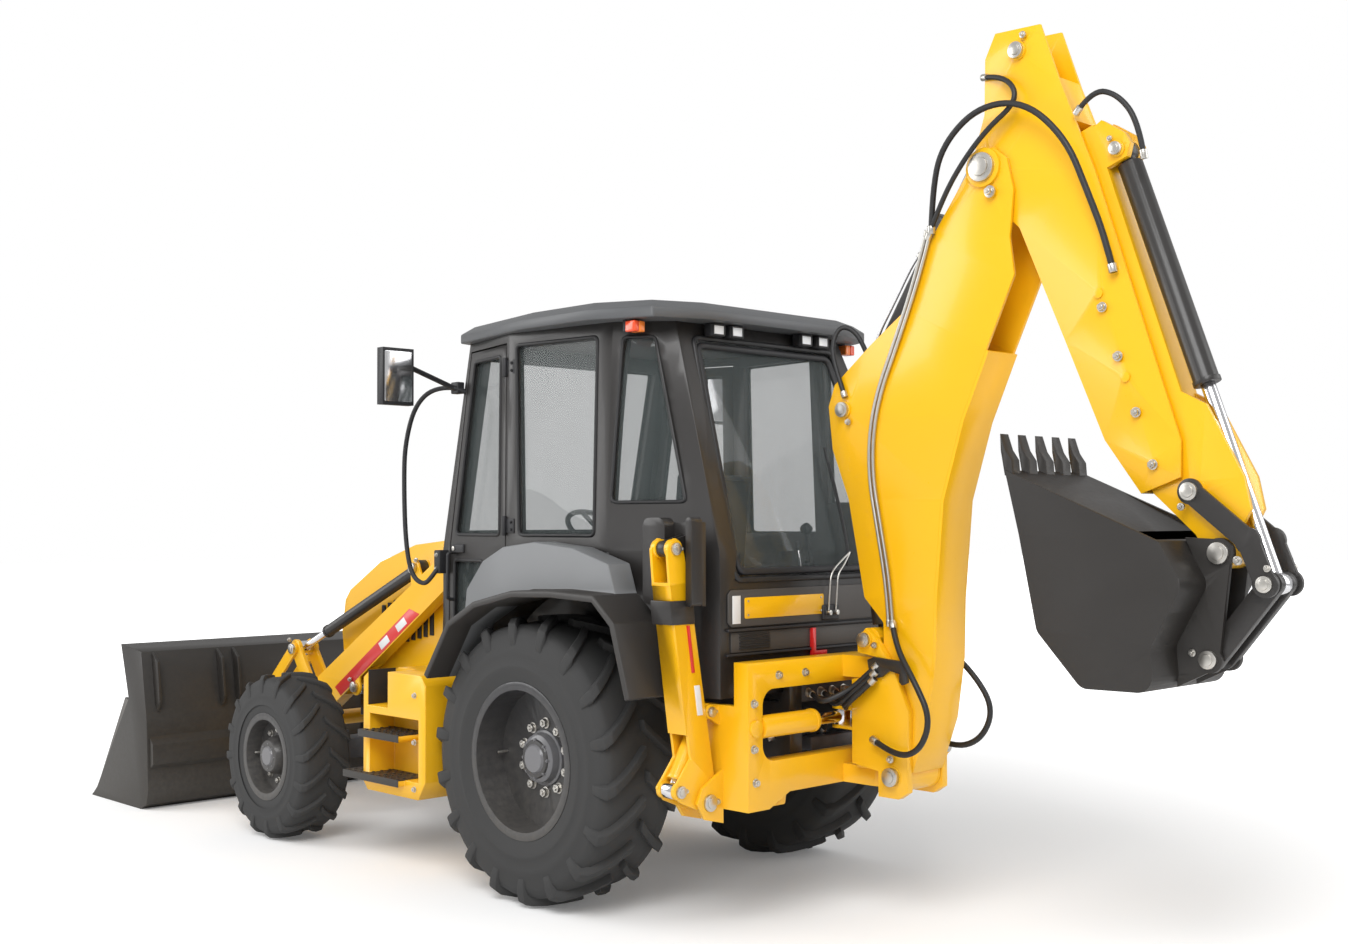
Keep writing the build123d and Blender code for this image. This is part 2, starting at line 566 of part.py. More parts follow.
# ================================================================ hood
def hood():
    w = HOOD_HALF
    rear = XR + 1010
    top = [(rear, 960), (rear, 1690), (XR + 1732, 1625), (XR + 2089, 1522), (XR + 2411, 1350), (XR + 2466, 1288),
           (XR + 2500, 1100), (XR + 2470, 900), (XR + 2340, 880)]
    shape = plate(top, -w, w)
    inner = plate([(rear - 1, 880), (rear - 1, 1665), (XR + 1725, 1600), (XR + 2075, 1498), (XR + 2390, 1335),
                   (XR + 2440, 1270), (XR + 2475, 1100), (XR + 2448, 870)], -w + 20, w - 20)
    shape -= inner
    for i in range(7):
        z = 940 + i * 48
        shape -= block(XR + 2400, XR + 2520, -w + 60, w - 60, z, z + 24)
    hx, hz = HOOD_HINGE
    y0 = HOOD_HINGE_Y + 10 + FIT
    lug = round_y(HOOD_HINGE, 20, y0, y0 + 16)
    lug += plate([(hx - 10, hz), (hx + 12, hz - 10), (hx + 30, hz + 50), (hx - 10, hz + 50)], y0, y0 + 16)
    return shape + both(lug + block(hx - 10, hx + 30, y0, w - 5, hz + 34, hz + 50))



# ================================================================ loader
def loader_arms():
    y0, y1 = ARM_Y - ARM_T / 2, ARM_Y + ARM_T / 2
    a, k, b = ARM_PIVOT, ARM_KNEE, LOADER_PIN
    u, v = across(a, k, 1), across(k, b, 1)
    m = ((u[0] + v[0]) / 2, (u[1] + v[1]) / 2)
    beam = [(a[0] + u[0] * 85, a[1] + u[1] * 85), (k[0] + m[0] * 110, k[1] + m[1] * 110),
            (b[0] + v[0] * 65, b[1] + v[1] * 65), (b[0] - v[0] * 65, b[1] - v[1] * 65),
            (k[0] - m[0] * 110, k[1] - m[1] * 110), (a[0] - u[0] * 85, a[1] - u[1] * 85)]
    arm = plate(beam, y0, y1) + round_y(a, 85, y0, y1) + round_y(b, 65, y0, y1)
    lx, lz = LIFT_ROD
    arm += ears(LIFT_ROD, 50, ARM_Y, EYE_W, (ARM_T - EYE_W) / 2 - FIT,
                [(lx - 50, lz + 130), (lx + 110, lz + 60), (lx + 45, lz - 20), (lx - 40, lz + 20)])
    arm -= round_y(LIFT_ROD, 52, ARM_Y - EYE_W / 2 - FIT, ARM_Y + EYE_W / 2 + FIT)
    slot = [(lx - 430, lz + 60), (lx - 260, lz + 165), (lx + 20, lz + 82), (lx + 135, lz + 62), (lx + 135, lz - 110),
            (lx - 430, lz - 150)]
    arm -= plate(slot, ARM_Y - EYE_W / 2 - FIT, ARM_Y + EYE_W / 2 + FIT)   # room for the lift cylinder's rod
    tx, tz = TILT_BASE
    arm += ears(TILT_BASE, 48, ARM_Y, EYE_W, (ARM_T - EYE_W) / 2 - FIT,
                [(tx - 110, tz - 110), (tx + 20, tz - 190), (tx + 35, tz - 30), (tx - 40, tz + 20)])
    arm += round_y(LEVER_PIVOT, 60, y0, y1)
    tube = round_y((k[0] + 205, k[1] - 190), 45, -y0, y0)
    return both(arm) + tube


def lever():
    """Bell crank pair outside each arm."""
    y0, y1 = ARM_Y + ARM_T / 2 + FIT, ARM_Y + ARM_T / 2 + FIT + 22
    outer = link(LEVER_PIVOT, LEVER_TOP, 48, y0, y1, 55)
    z0, z1 = ARM_Y - ARM_T / 2 - FIT - 22, ARM_Y - ARM_T / 2 - FIT
    inner = link(LEVER_PIVOT, LEVER_TOP, 48, z0, z1, 55)
    return outer + inner


def tilt_link():
    """Link from the bell crank to the bucket, outside both crank plates."""
    y = ARM_T / 2 + 2 * FIT + 22
    shape = link(LEVER_TOP, TILT_LINK, LINK_HALF, ARM_Y + y, ARM_Y + y + LINK_T)
    return shape + link(LEVER_TOP, TILT_LINK, LINK_HALF, ARM_Y - y - LINK_T, ARM_Y - y)


def loader_bucket():
    x, w, t = XR, BUCKET_W / 2, 18.0
    outer = [(BUCKET_TIP, 0), (x + 3520, 0), (x + 3440, 40), (x + 3420, 120), (x + 3450, 560), (x + 3530, 959),
             (x + 3814, 993), (x + 3810, 975), (x + 3545, 941), (x + 3468, 556), (x + 3438, 130), (x + 3455, 58),
             (x + 3525, t), (BUCKET_TIP, 8)]
    shape = plate(outer, -w + t, w - t)
    cheek = [(BUCKET_TIP, 0), (x + 3520, 0), (x + 3440, 40), (x + 3420, 120), (x + 3450, 560), (x + 3530, 959),
             (x + 3814, 993), (x + 3700, 660), (x + 4150, 60)]
    shape += both(plate(cheek, w - t, w))
    rib = [(x + 3432, 250), (x + 3392, 280), (x + 3398, 400), (x + 3446, 450)]
    for y0, y1 in ((-340, 340), (560, w - t + 1), (-w + t - 1, -560)):   # stiffener across the back
        shape += plate(rib, y0, y1)
    bx, bz = LOADER_PIN
    tx, tz = TILT_LINK
    ear = [(bx - 40, bz - 40), (x + 3430, 130), (x + 3470, 620), (tx - 20, tz + 40), (bx - 50, bz + 30)]
    for s in (1, -1):
        y0 = ARM_Y + s * (ARM_T / 2 + FIT)
        y1 = y0 + s * 22
        piece = plate(ear, min(y0, y1), max(y0, y1)) + round_y(LOADER_PIN, 65, y0, y1) + round_y(TILT_LINK, 45, y0, y1)
        piece -= plate(outer[:7] + [(x + 3900, 960), (BUCKET_TIP, 400)], y0 - 30, y0 + 30)
        shape += both(piece)
    return shape


def lift_rams():
    r = RAM_LOADER
    tube = barrel(LIFT_BASE, LIFT_ROD, ARM_Y, LIFT_LENGTH, r["r"], r["bore"], r["rod"], r["eye"], EYE_W)
    rod = piston_rod(LIFT_BASE, LIFT_ROD, ARM_Y, 85, r["rod"], r["eye"], EYE_W)
    return both(tube), both(rod)


def tilt_rams():
    r = RAM_LOADER
    tube = barrel(TILT_BASE, LEVER_TOP, ARM_Y, TILT_LENGTH, r["r"], r["bore"], r["rod"], r["eye"], EYE_W)
    rod = piston_rod(TILT_BASE, LEVER_TOP, ARM_Y, 600, r["rod"], r["eye"], ARM_T)
    return both(tube), both(rod)


# ================================================================ backhoe
def swing_tower():
    """Swing tower: bosses on the swing axis, side plates for the boom's foot, lugs for the swing rods."""
    h = BOOM_HALF + FIT
    free = SWING_BOSS_R + CLEAR
    low, high = BEAM_LOW[0] + 80 + FIT, BEAM_HIGH[0] + 20 - FIT
    x = SWING_X
    fx, fz = FOOT
    lx, lz = BOOM_CYL_BASE
    top = BEAM_HIGH[1] + CLEAR
    side = [(fx - 78, fz - 60), (fx - 30, fz - 92), (x - free, fz - 92), (x - free, low), (x + 60, low + 20), (x + 60, high),
            (x - free, high), (x - free, top), (lx + 45, top + 15), (lx + 48, lz), (lx, lz + 50), (lx - 48, lz + 10),
            (x - free - 90, top - 60), (fx - 84, high - 120), (fx - 78, fz + 60)]
    shape = both(plate(side, h, h + TOWER_EAR))
    for z0, z1 in ((low, low + 60), (high - 60, high)):
        shape += block(x - free + 2, x + 60, -h - 5, h + 5, z0, z1)
    shape += both(round_y(FOOT, 45, h + TOWER_EAR, h + TOWER_EAR + 3))
    shape += both(round_y(BOOM_CYL_BASE, 50, HOE_EYE / 2 + FIT, h + 1) + round_y(BOOM_CYL_BASE, 35, h + TOWER_EAR, h + TOWER_EAR + 12))
    tip = x + SWING_ARM
    for z in (SWING_Z - 35 - FIT - LUG_T, SWING_Z + 35 + FIT):          # lugs for the swing rods' pins
        shape += plate_z([(x + 50, -h), (x + 50, h), (tip, SWING_PIN_Y + LUG_REACH - 5), (tip, -SWING_PIN_Y - LUG_REACH + 5)],
                         z, z + LUG_T)
        shape += both(round_z(tip, SWING_PIN_Y, LUG_REACH, z, z + LUG_T))
    return shape


def swing_rams():
    """Barrels across the rear frame's window, and the left rod."""
    r = RAM_SWING
    x, z, y0, y1 = SWING_X + SWING_ARM, SWING_Z, RAM_SWING["start"], FRAME_POST_IN - SEAT
    tube = bar((x, y0 + 18, z), (x, y1, z), r["r"]) - bar((x, y0 + 32, z), (x, y1 - 14, z), r["bore"])
    tube += bar((x, y0, z), (x, y0 + 18, z), r["r"] + 3)
    tube -= bar((x, y0 - 1, z), (x, y0 + 33, z), r["rod"] + FIT)
    rod = bar((x, SWING_PIN_Y + 20, z), (x, y0 + 18 + SWING_STROKE, z), r["rod"])
    rod += round_z(x, SWING_PIN_Y, r["eye"], z - 35, z + 35)
    return both(tube), rod


def boom():
    """Boom: two side plates, its curved rear web, and the pin bosses."""
    x = XR
    low = SWING_X - SWING_BOSS_R - CLEAR - 6
    fx, fz = FOOT
    cab_side = [(low, fz + 40), (low, BOOM_CYL_BASE[1] + 75), (x - 1310, 1420), (x - 1225, 1850), (x - 1136, 2071),
                (x - 1114, 2265), (x - 1150, 2360), (x - 1355, 2522), (x - 1547, 2656), (x - 1681, 2939), (x - 1836, 3147),
                (x - 1912, 3250), (x - 1995, 3280)]
    rear_side = [(x - 2060, 3225), (x - 2090, 3090), (x - 2070, 2900), (x - 2090, 2745), (x - 1952, 2451),
                 (x - 1825, 2170), (x - 1721, 1841), (x - 1681, 1422), (x - 1673, 1171), (x - 1634, 917), (fx - 66, fz + 25)]
    side = cab_side + rear_side
    h, t = BOOM_HALF, BOOM_PLATE
    body = outline(side, 20)
    shape = both(prism_y(body, h - t, h) + round_y(FOOT, 70, h - t, h))
    web = rear_side[4:]
    shape += plate(strip(web, t)[::-1], -h + 1, h - 1)
    for bend in web[1:-1]:                              # rounded bends of the web
        shape += round_y((bend[0] + t, bend[1]), t, -h + 1, h - 1)
    shape += round_y(FOOT, 68, -h + 1, h - 1)
    shape += plate([(fx - 60, fz), (fx + 60, fz), (fx - 20, fz + 230), (fx - 95, fz + 230)], -h + 1, h - 1)
    shape += both(round_y(HUMP, 52, FORK_OUT + FIT, h - t + 1) + round_y(HUMP, 38, h, h + 12))
    return shape + both(round_y(DIPPER_PIVOT, 80, h - 1, h + 16))


def boom_rams():
    """Boom cylinder: barrel on the tower, rod with a forked end at the hump."""
    r = RAM_HOE
    tube = barrel(BOOM_CYL_BASE, HUMP, 0, 790, r["r"], r["bore"], r["rod"], r["eye"], HOE_EYE)
    fork = toward(HUMP, BOOM_CYL_BASE, FORK_ROOT)
    inner = toward(BOOM_CYL_BASE, HUMP, 100)
    rod = bar((inner[0], 0, inner[1]), (fork[0], 0, fork[1]), r["rod"]) + round_y(fork, 45, -FORK_OUT, FORK_OUT)
    return tube, rod + both(link(fork, HUMP, 38, HOE_EYE / 2 + 2 * FIT, FORK_OUT, 46))


def dipper():
    h, t = DIPPER_HALF, DIPPER_PLATE
    p = on_dipper
    side = [(-507, 216), (-431, 414), (-164, 418), (246, 440), (1355, 430), (1485, 385), (1490, 214), (1246, 137),
            (814, 103), (300, 60), (90, -50), (-30, -80), (-216, 60), (-431, 138)]
    shape = both(plate([p(q) for q in side], h - t, h))
    web = [(1490, 214), (1246, 137), (814, 103), (300, 60), (90, -50)]
    shape += plate([p(q) for q in web] + [p((s, u + 16)) for s, u in reversed(web)], -h + 1, h - 1)
    shape += both(round_y(p((0, 0)), 75, h - t, BOOM_HALF - BOOM_PLATE - FIT) + round_y(p((0, 0)), 50, 0, h))
    shape += both(round_y(p(DIPPER_TOP), 50, HOE_EYE / 2 + FIT, h - t + 1) + round_y(p(DIPPER_TOP), 38, h, h + 12))
    shape += plate([p((-190, 240)), p((-190, 415)), p((10, 425)), p((10, 240))], -h + 1, h - 1)
    for s, u in ((700, 300), (1050, 300), (1400, 300)):       # wear pads of the slide
        shape += both(round_y(p((s, u)), 40, SLIDE_HALF + FIT, h - t + 1) + round_y(p((s, u)), 20, h, h + 10))
    return shape


def dipper_rams():
    r = RAM_HOE
    top = on_dipper(DIPPER_TOP)
    tube = barrel(HUMP, top, 0, 920, r["r"], r["bore"], r["rod"], r["eye"], HOE_EYE)
    rod = piston_rod(HUMP, top, 0, 740, r["rod"], r["eye"], HOE_EYE)
    return tube, rod


def extension():
    """Sliding part of the dipper, with the bucket cylinder's bracket and the nose that carries the bucket."""
    h = SLIDE_HALF
    p = on_dipper
    s0, t0 = BUCKET_PIN
    body = [(60, 250), (60, 480), (1720, 480), (s0, t0 + NOSE_R - 1), (s0, t0 - NOSE_R + 1), (1700, 360), (1500, 250)]
    shape = plate([p(q) for q in body], -h, h) + round_y(p(BUCKET_PIN), NOSE_R, -h, h)
    bracket = [(70, 479), (60, 520), (150, 590), (200, 600), (244, 570), (246, 479)]
    shape += both(plate([p(q) for q in bracket], HOE_EYE / 2 + FIT, h))
    shape += both(round_y(p(BUCKET_CYL_BASE), 32, h, h + 12))
    cheek = [(1180, 479), (1260, 556), (1560, 604), (1680, 590), (1765, 500), (1765, 470)]
    shape += both(plate([p(q) for q in cheek], h - 20, h))
    shape += both(round_y(p(LINK_PIN), 45, h - 1, IDLER_Y[0] - FIT))
    return shape


def bucket_rams():
    r = RAM_BUCKET
    a, b = on_dipper(BUCKET_CYL_BASE), on_dipper(IDLER_END)
    tube = barrel(a, b, 0, 960, r["r"], r["bore"], r["rod"], r["eye"], HOE_EYE)
    rod = piston_rod(a, b, 0, 760, r["rod"], r["eye"], HOE_EYE)
    return tube, rod


def idler_links():
    """Curved pair of plates outside the bucket's ears."""
    a, b = on_dipper(LINK_PIN), on_dipper(IDLER_END)
    m = on_dipper((1790, 560))
    y0, y1 = IDLER_Y
    shape = link(a, m, 40, y0, y1, 48) + link(m, b, 40, y0, y1, 48)
    shape += round_y(b, 34, SLIDE_HALF + FIT, y1)
    return both(shape)


def push_link():
    a, b = on_dipper(IDLER_END), on_dipper(BUCKET_LINK)
    return both(link(a, b, 42, HOE_EYE / 2 + FIT, SLIDE_HALF))


def hoe_bucket():
    """Digging bucket: curved belly and cheeks of plate, ears, and teeth on its lip."""
    x, w, t = XR, HOE_W / 2, HOE_PLATE
    lip, top = (x - 2154, 1951), (x - 2800, 1676)
    belly = [lip, (x - 2215, 1700), (x - 2290, 1330), (x - 2480, 1125), (x - 2772, 1128), (x - 2762, 1290),
             (x - 2832, 1420), (x - 2890, 1520), top]
    round_side = FilletPolyline(*belly, radius=BELLY_R, close=False)
    side = make_face([*round_side.edges(), Line(top, lip)])
    hollow = offset(side, -t, kind=Kind.INTERSECTION)
    mouth = outline([(lip[0] - 2 * t, lip[1] - 5), (lip[0] - 60, lip[1] + 120), (top[0], top[1] + 160), (top[0] + 20, top[1] - 18)])
    shape = prism_y(side, -w + 1, w - 1) - prism_y(hollow, -w, w) - prism_y(mouth, -w, w)
    shape += both(prism_y(side, w - t, w))
    pin, lk = on_dipper(BUCKET_PIN), on_dipper(BUCKET_LINK)
    ear = [(pin[0] - 40, pin[1] - 40), (lk[0] - 40, lk[1]), (lk[0], lk[1] - 45), (x - 2763, 1139), (x - 2753, 1291),
           (x - 2823, 1424), (x - 2879, 1522), (x - 2800, 1690), (pin[0], pin[1] + 50)]
    y0 = SLIDE_HALF + FIT
    shape += both(plate(ear, y0, y0 + 22) + round_y(pin, 55, y0, y0 + 22) + round_y(lk, 50, y0, y0 + 22))
    tooth = [(x - 2185, 1925), (x - 2150, 1930), (x - 2132, 2030), (x - 2130, 2094), (x - 2152, 2030), (x - 2180, 1990)]
    for i in range(TEETH):
        y = (i - (TEETH - 1) / 2) * (HOE_W - 70) / (TEETH - 1)
        shape += plate(tooth, y - 28, y + 28)
    return shape


# ================================================================ stabilisers
def leg():
    """Leg: two side plates with an outer web and a cap, its ears at both ends, and a wear band."""
    w = LEG_W / 2
    (py, pz), (ty, tz), (cy, cz) = LEG_PIVOT, LEG_TOP, LEG_RAM_PIN
    (ay, az), t = PAD_PIN, 55
    side = [(py - 55, pz - 20), (py - 20, pz - 55), (cy, cz - 45), (cy + 42, cz + 10), (cy + 10, cz + 45),
            (py + 90, pz + 190), (ty + t, tz), (ay + 45, az), (ay, az + 50), (ay - 45, az), (ty - t, tz), (py - 55, pz + 60)]
    pieces = []
    for s in (1, -1):
        x0, x1 = sorted((LEG_X + s * (w - 14), LEG_X + s * w))
        pieces.append(plate_x(side, x0, x1, 12))
        pieces.append(bar((LEG_X + s * (RAM_LEG["eye"] - 2 + FIT), cy, cz), (LEG_X + s * w, cy, cz), 36))
        pieces.append(bar((LEG_X + s * PAD_EYE, ay, az), (LEG_X + s * w, ay, az), 40))
    low = pz + 290
    oy = py + 74 + (ty - py - 19) * 290 / (tz - pz)
    pieces.append(plate_x([(oy, low), (ty + t, tz), (ty + t - 14, tz), (oy - 14, low)], LEG_X - w, LEG_X + w))
    pieces.append(plate_x([(ty - t, tz - 14), (ty + t, tz - 14), (ty + t, tz), (ty - t, tz)], LEG_X - w, LEG_X + w))
    return joined(pieces)


def pad():
    """Foot of a stabiliser: base plate, a cleat on either side of the leg's fork, and its ears."""
    y, z = PAD_PIN
    face = y - 111
    pieces = [bar((LEG_X - PAD_EYE + FIT, y, z), (LEG_X + PAD_EYE - FIT, y, z), 34)]
    for s in (1, -1):
        x0, x1 = sorted((LEG_X + s * 14, LEG_X + s * (PAD_EYE - FIT)))
        pieces.append(plate_x([(y + 15, z - 30), (y + 15, z + 30), (face - 1, z + 60), (face - 1, z - 40)], x0, x1))
    pieces.append(block(LEG_X + PAD_X[0], LEG_X + PAD_X[1], face - 22, face, z - 240, z + 110))
    for x0, x1 in ((PAD_X[0], -LEG_W / 2 - CLEAR), (LEG_W / 2 + CLEAR, PAD_X[1])):
        cleat = [(LEG_X + x0, z - 240), (LEG_X + x1, z - 240), (LEG_X + x1, z + 130), (LEG_X + x0, z + 130)]
        pieces.append(plate(cleat, face - 1, face + 60, min(40, (x1 - x0) / 2 - 2)))
    return joined(pieces)


def leg_rams():
    """Stabiliser cylinder: barrel and rod, laid out flat and then stood in the leg's plane."""
    r = RAM_LEG
    a, b = LEG_RAM_BASE, LEG_RAM_PIN
    tube = barrel(a, b, 0, 300, r["r"], r["bore"], r["rod"], r["eye"], 2 * r["eye"] - 4)
    rod = piston_rod(a, b, 0, 68, r["rod"], r["eye"], 2 * r["eye"] - 4)
    stand = Location(Plane(origin=(LEG_X, 0, 0), x_dir=(0, 1, 0), z_dir=(1, 0, 0)))
    flat = Location(Plane(origin=(0, 0, 0), x_dir=(1, 0, 0), z_dir=(0, -1, 0))).inverse()
    return stand * flat * tube, stand * flat * rod


def main():
    os.makedirs("parts", exist_ok=True)
    for name, shape in build().items():
        export_step(shape, os.path.join("parts", name + ".step"))


def build():
    n = {}
    n["main_frame"] = main_frame()
    n["rear_frame"] = rear_frame()
    n["drive_train"] = drive_train() + rear_axle()
    n["front_axle"] = front_axle()
    left = knuckle()
    n["knuckle_left"], n["knuckle_right"] = left, mirror(left, Plane.XZ)
    for name, k, x, z in (("rear", REAR, XR, ZR), ("front", FRONT, XF, ZF)):
        t, r = tyre(k, x, z), rim(k, x, z)
        n[f"tyre_{name}_left"], n[f"tyre_{name}_right"] = t, mirror(t, Plane.XZ)
        n[f"rim_{name}_left"], n[f"rim_{name}_right"] = r, mirror(r, Plane.XZ)
    n["tanks"] = tanks()
    frame, glass, door, pane = cab_pieces()
    n["cab_frame"], n["cab_glass"] = frame, glass
    n["door_left"], n["door_right"] = door, mirror(door, Plane.XZ)
    n["door_glass_left"], n["door_glass_right"] = pane, mirror(pane, Plane.XZ)
    n["cab_roof"] = cab_roof()
    n["fenders"] = fenders()
    n["seat"] = seat()
    n["controls"] = controls() + seat_base()
    n["mirrors"] = mirrors()
    n["lamps"] = lamps()
    n["hood"] = hood()
    n["loader_arms"] = loader_arms()
    n["tilt_levers"] = both(lever())
    n["tilt_links"] = both(tilt_link())
    n["loader_bucket"] = loader_bucket()
    n["lift_barrels"], n["lift_rods"] = lift_rams()
    n["tilt_barrels"], n["tilt_rods"] = tilt_rams()
    n["swing_tower"] = swing_tower()
    n["swing_barrels"], rod = swing_rams()
    n["swing_rod_left"], n["swing_rod_right"] = rod, mirror(rod, Plane.XZ)
    n["boom"] = boom()
    n["boom_barrel"], n["boom_rod"] = boom_rams()
    n["dipper"] = dipper()
    n["dipper_barrel"], n["dipper_rod"] = dipper_rams()
    n["dipper_extension"] = extension()
    n["bucket_barrel"], n["bucket_rod"] = bucket_rams()
    n["idler_links"], n["push_link"] = idler_links(), push_link()
    n["hoe_bucket"] = hoe_bucket()
    tube, rod = leg_rams()
    for name, shape in (("stabiliser_leg", leg()), ("stabiliser_pad", pad()), ("stabiliser_barrel", tube),
                        ("stabiliser_rod", rod)):
        n[name + "_left"], n[name + "_right"] = shape, mirror(shape, Plane.XZ)
    return n


if __name__ == "__main__":
    main()
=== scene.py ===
"""Looks of a backhoe loader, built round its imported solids."""

from __future__ import annotations

import json
import logging
import math
from dataclasses import dataclass, field
from enum import Enum
from typing import Callable, Iterable, Sequence

import bpy
from mathutils import Matrix, Vector

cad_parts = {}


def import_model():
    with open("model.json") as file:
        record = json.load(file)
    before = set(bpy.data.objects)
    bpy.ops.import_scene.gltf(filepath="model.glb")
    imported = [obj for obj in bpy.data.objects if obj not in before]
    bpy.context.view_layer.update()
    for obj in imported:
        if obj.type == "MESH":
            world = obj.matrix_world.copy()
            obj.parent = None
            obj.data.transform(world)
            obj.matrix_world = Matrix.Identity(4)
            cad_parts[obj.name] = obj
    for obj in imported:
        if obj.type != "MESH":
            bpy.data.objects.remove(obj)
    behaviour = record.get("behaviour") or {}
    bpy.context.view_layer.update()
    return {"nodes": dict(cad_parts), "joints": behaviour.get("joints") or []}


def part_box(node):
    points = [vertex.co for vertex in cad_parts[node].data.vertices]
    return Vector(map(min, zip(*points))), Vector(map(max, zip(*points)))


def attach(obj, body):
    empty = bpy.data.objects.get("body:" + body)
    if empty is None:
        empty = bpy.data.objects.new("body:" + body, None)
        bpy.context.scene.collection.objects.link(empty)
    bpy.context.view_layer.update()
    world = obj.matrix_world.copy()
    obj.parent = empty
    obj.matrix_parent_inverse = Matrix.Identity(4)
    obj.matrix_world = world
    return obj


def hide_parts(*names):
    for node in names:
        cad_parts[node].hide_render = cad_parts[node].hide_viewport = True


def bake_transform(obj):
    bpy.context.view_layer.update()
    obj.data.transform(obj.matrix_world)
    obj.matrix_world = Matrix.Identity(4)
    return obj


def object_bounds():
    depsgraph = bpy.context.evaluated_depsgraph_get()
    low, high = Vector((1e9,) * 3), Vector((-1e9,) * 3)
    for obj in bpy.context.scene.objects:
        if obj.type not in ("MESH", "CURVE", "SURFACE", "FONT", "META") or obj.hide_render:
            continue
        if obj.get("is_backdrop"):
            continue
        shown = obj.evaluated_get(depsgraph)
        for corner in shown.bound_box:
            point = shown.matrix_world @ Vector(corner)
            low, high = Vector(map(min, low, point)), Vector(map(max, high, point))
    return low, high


log = logging.getLogger("backhoe_loader")

Point = tuple[float, float, float]
Colour = tuple[float, float, float]

SAME_POINT = 0.00005      # corners closer than this are one
FACING = 0.99             # least cosine between a face's normal and the way that it looks
HEAD_SINK, HEAD_RISE = 0.004, 0.016   # pin's head under and over the face that it stands on


# ---------------------------------------------------------------- shader maths
class Term:
    """A shader socket that Python's operators can reckon with."""

    def __init__(self, recipe: "Recipe", socket: bpy.types.NodeSocket) -> None:
        """Wraps socket, which belongs to a node of recipe."""
        self.recipe = recipe
        self.socket = socket

    def _math(self, operation: str, a: "Term | float", b: "Term | float", clamp: bool = False) -> "Term":
        """Adds one Math node.

        Args:
            operation: Math node's operation.
            a: first operand.
            b: second operand.
            clamp: whether the result stays between 0 and 1.

        Returns:
            The node's result.
        """
        return self.recipe.node("ShaderNodeMath", {"operation": operation, "use_clamp": clamp}, {0: a, 1: b})

    def __add__(self, other: "Term | float") -> "Term":
        """Sum."""
        return self._math("ADD", self, other)

    __radd__ = __add__

    def __sub__(self, other: "Term | float") -> "Term":
        """Difference."""
        return self._math("SUBTRACT", self, other)

    def __rsub__(self, other: float) -> "Term":
        """Number less this."""
        return self._math("SUBTRACT", other, self)

    def __mul__(self, other: "Term | float") -> "Term":
        """Product."""
        return self._math("MULTIPLY", self, other)

    __rmul__ = __mul__

    def __truediv__(self, other: "Term | float") -> "Term":
        """Quotient."""
        return self._math("DIVIDE", self, other)

    def __pow__(self, other: "Term | float") -> "Term":
        """Power."""
        return self._math("POWER", self, other)

    def __gt__(self, other: "Term | float") -> "Term":
        """One where this is the greater, else zero."""
        return self._math("GREATER_THAN", self, other)

    def __lt__(self, other: "Term | float") -> "Term":
        """One where this is the less, else zero."""
        return self._math("LESS_THAN", self, other)

    def unit(self) -> "Term":
        """Held between 0 and 1."""
        return self._math("ADD", self, 0.0, True)

    def ramp(self, low: float, high: float) -> "Term":
        """Rises from 0 at low to 1 at high, and stays in between outside."""
        return ((self - low) / (high - low)).unit()


class Recipe:
    """One material's node tree."""

    def __init__(self, name: str) -> None:
        """Starts an empty material.

        Args:
            name: material's name.
        """
        self.material = bpy.data.materials.new(name)
        self.material.use_nodes = True
        self.tree = self.material.node_tree
        self.tree.nodes.clear()
        self.place = self.node("ShaderNodeTexCoord", {}, {}, "Object")

    def node(self, kind: str, settings: dict[str, object], sockets: dict[int | str, object],
             out: int | str = 0) -> Term:
        """Adds a node, sets it, and fills its sockets.

        Args:
            kind: node's type name.
            settings: attributes to set first.
            sockets: values or terms by input name or number.
            out: output to return.

        Returns:
            The chosen output.
        """
        n = self.tree.nodes.new(kind)
        for key, value in settings.items():
            setattr(n, key, value)
        for key, value in sockets.items():
            if isinstance(value, Term):
                self.tree.links.new(value.socket, n.inputs[key])
            elif isinstance(value, tuple) and len(value) == 3 and n.inputs[key].type == "RGBA":
                n.inputs[key].default_value = (*value, 1.0)
            else:
                n.inputs[key].default_value = value
        return Term(self, n.outputs[out])

    def noise(self, scale: float, detail: float = 4.0, roughness: float = 0.55, stretch: Point = (1, 1, 1)) -> Term:
        """Noise over the object, from 0 to 1, stretched by the given scales."""
        at = self.place
        if stretch != (1, 1, 1):
            at = self.node("ShaderNodeMapping", {}, {"Vector": at, "Scale": stretch})
        settings = {"Vector": at, "Scale": scale, "Detail": detail, "Roughness": roughness}
        return self.node("ShaderNodeTexNoise", {}, settings)

    def cells(self, scale: float) -> Term:
        """Distance to the nearest cell's middle."""
        return self.node("ShaderNodeTexVoronoi", {}, {"Vector": self.place, "Scale": scale})

    def axis(self, name: str) -> Term:
        """One coordinate of the object, X, Y or Z, in metres."""
        return self.node("ShaderNodeSeparateXYZ", {}, {0: self.place}, name)

    def blend(self, mask: Term, a: "Colour | Term", b: "Colour | Term") -> Term:
        """Colour that goes from a to b with mask."""
        return self.node("ShaderNodeMix", {"data_type": "RGBA"}, {0: mask, 6: a, 7: b}, 2)

    def bump(self, height: Term, depth: float, strength: float = 0.5) -> Term:
        """Normal pushed by height, of the given depth in metres."""
        return self.node("ShaderNodeBump", {}, {"Height": height, "Distance": depth, "Strength": strength})

    def surface(self, **sockets: object) -> bpy.types.Material:
        """Closes the tree with a Principled shader.

        Args:
            sockets: its inputs, with _ for a space.

        Returns:
            The finished material.
        """
        filled = {k.replace("_", " "): v for k, v in sockets.items()}
        return self.output(self.node("ShaderNodeBsdfPrincipled", {}, filled))

    def output(self, shader: Term) -> bpy.types.Material:
        """Links shader to the material's output and gives the material."""
        out = self.tree.nodes.new("ShaderNodeOutputMaterial")
        self.tree.links.new(shader.socket, out.inputs["Surface"])
        return self.material


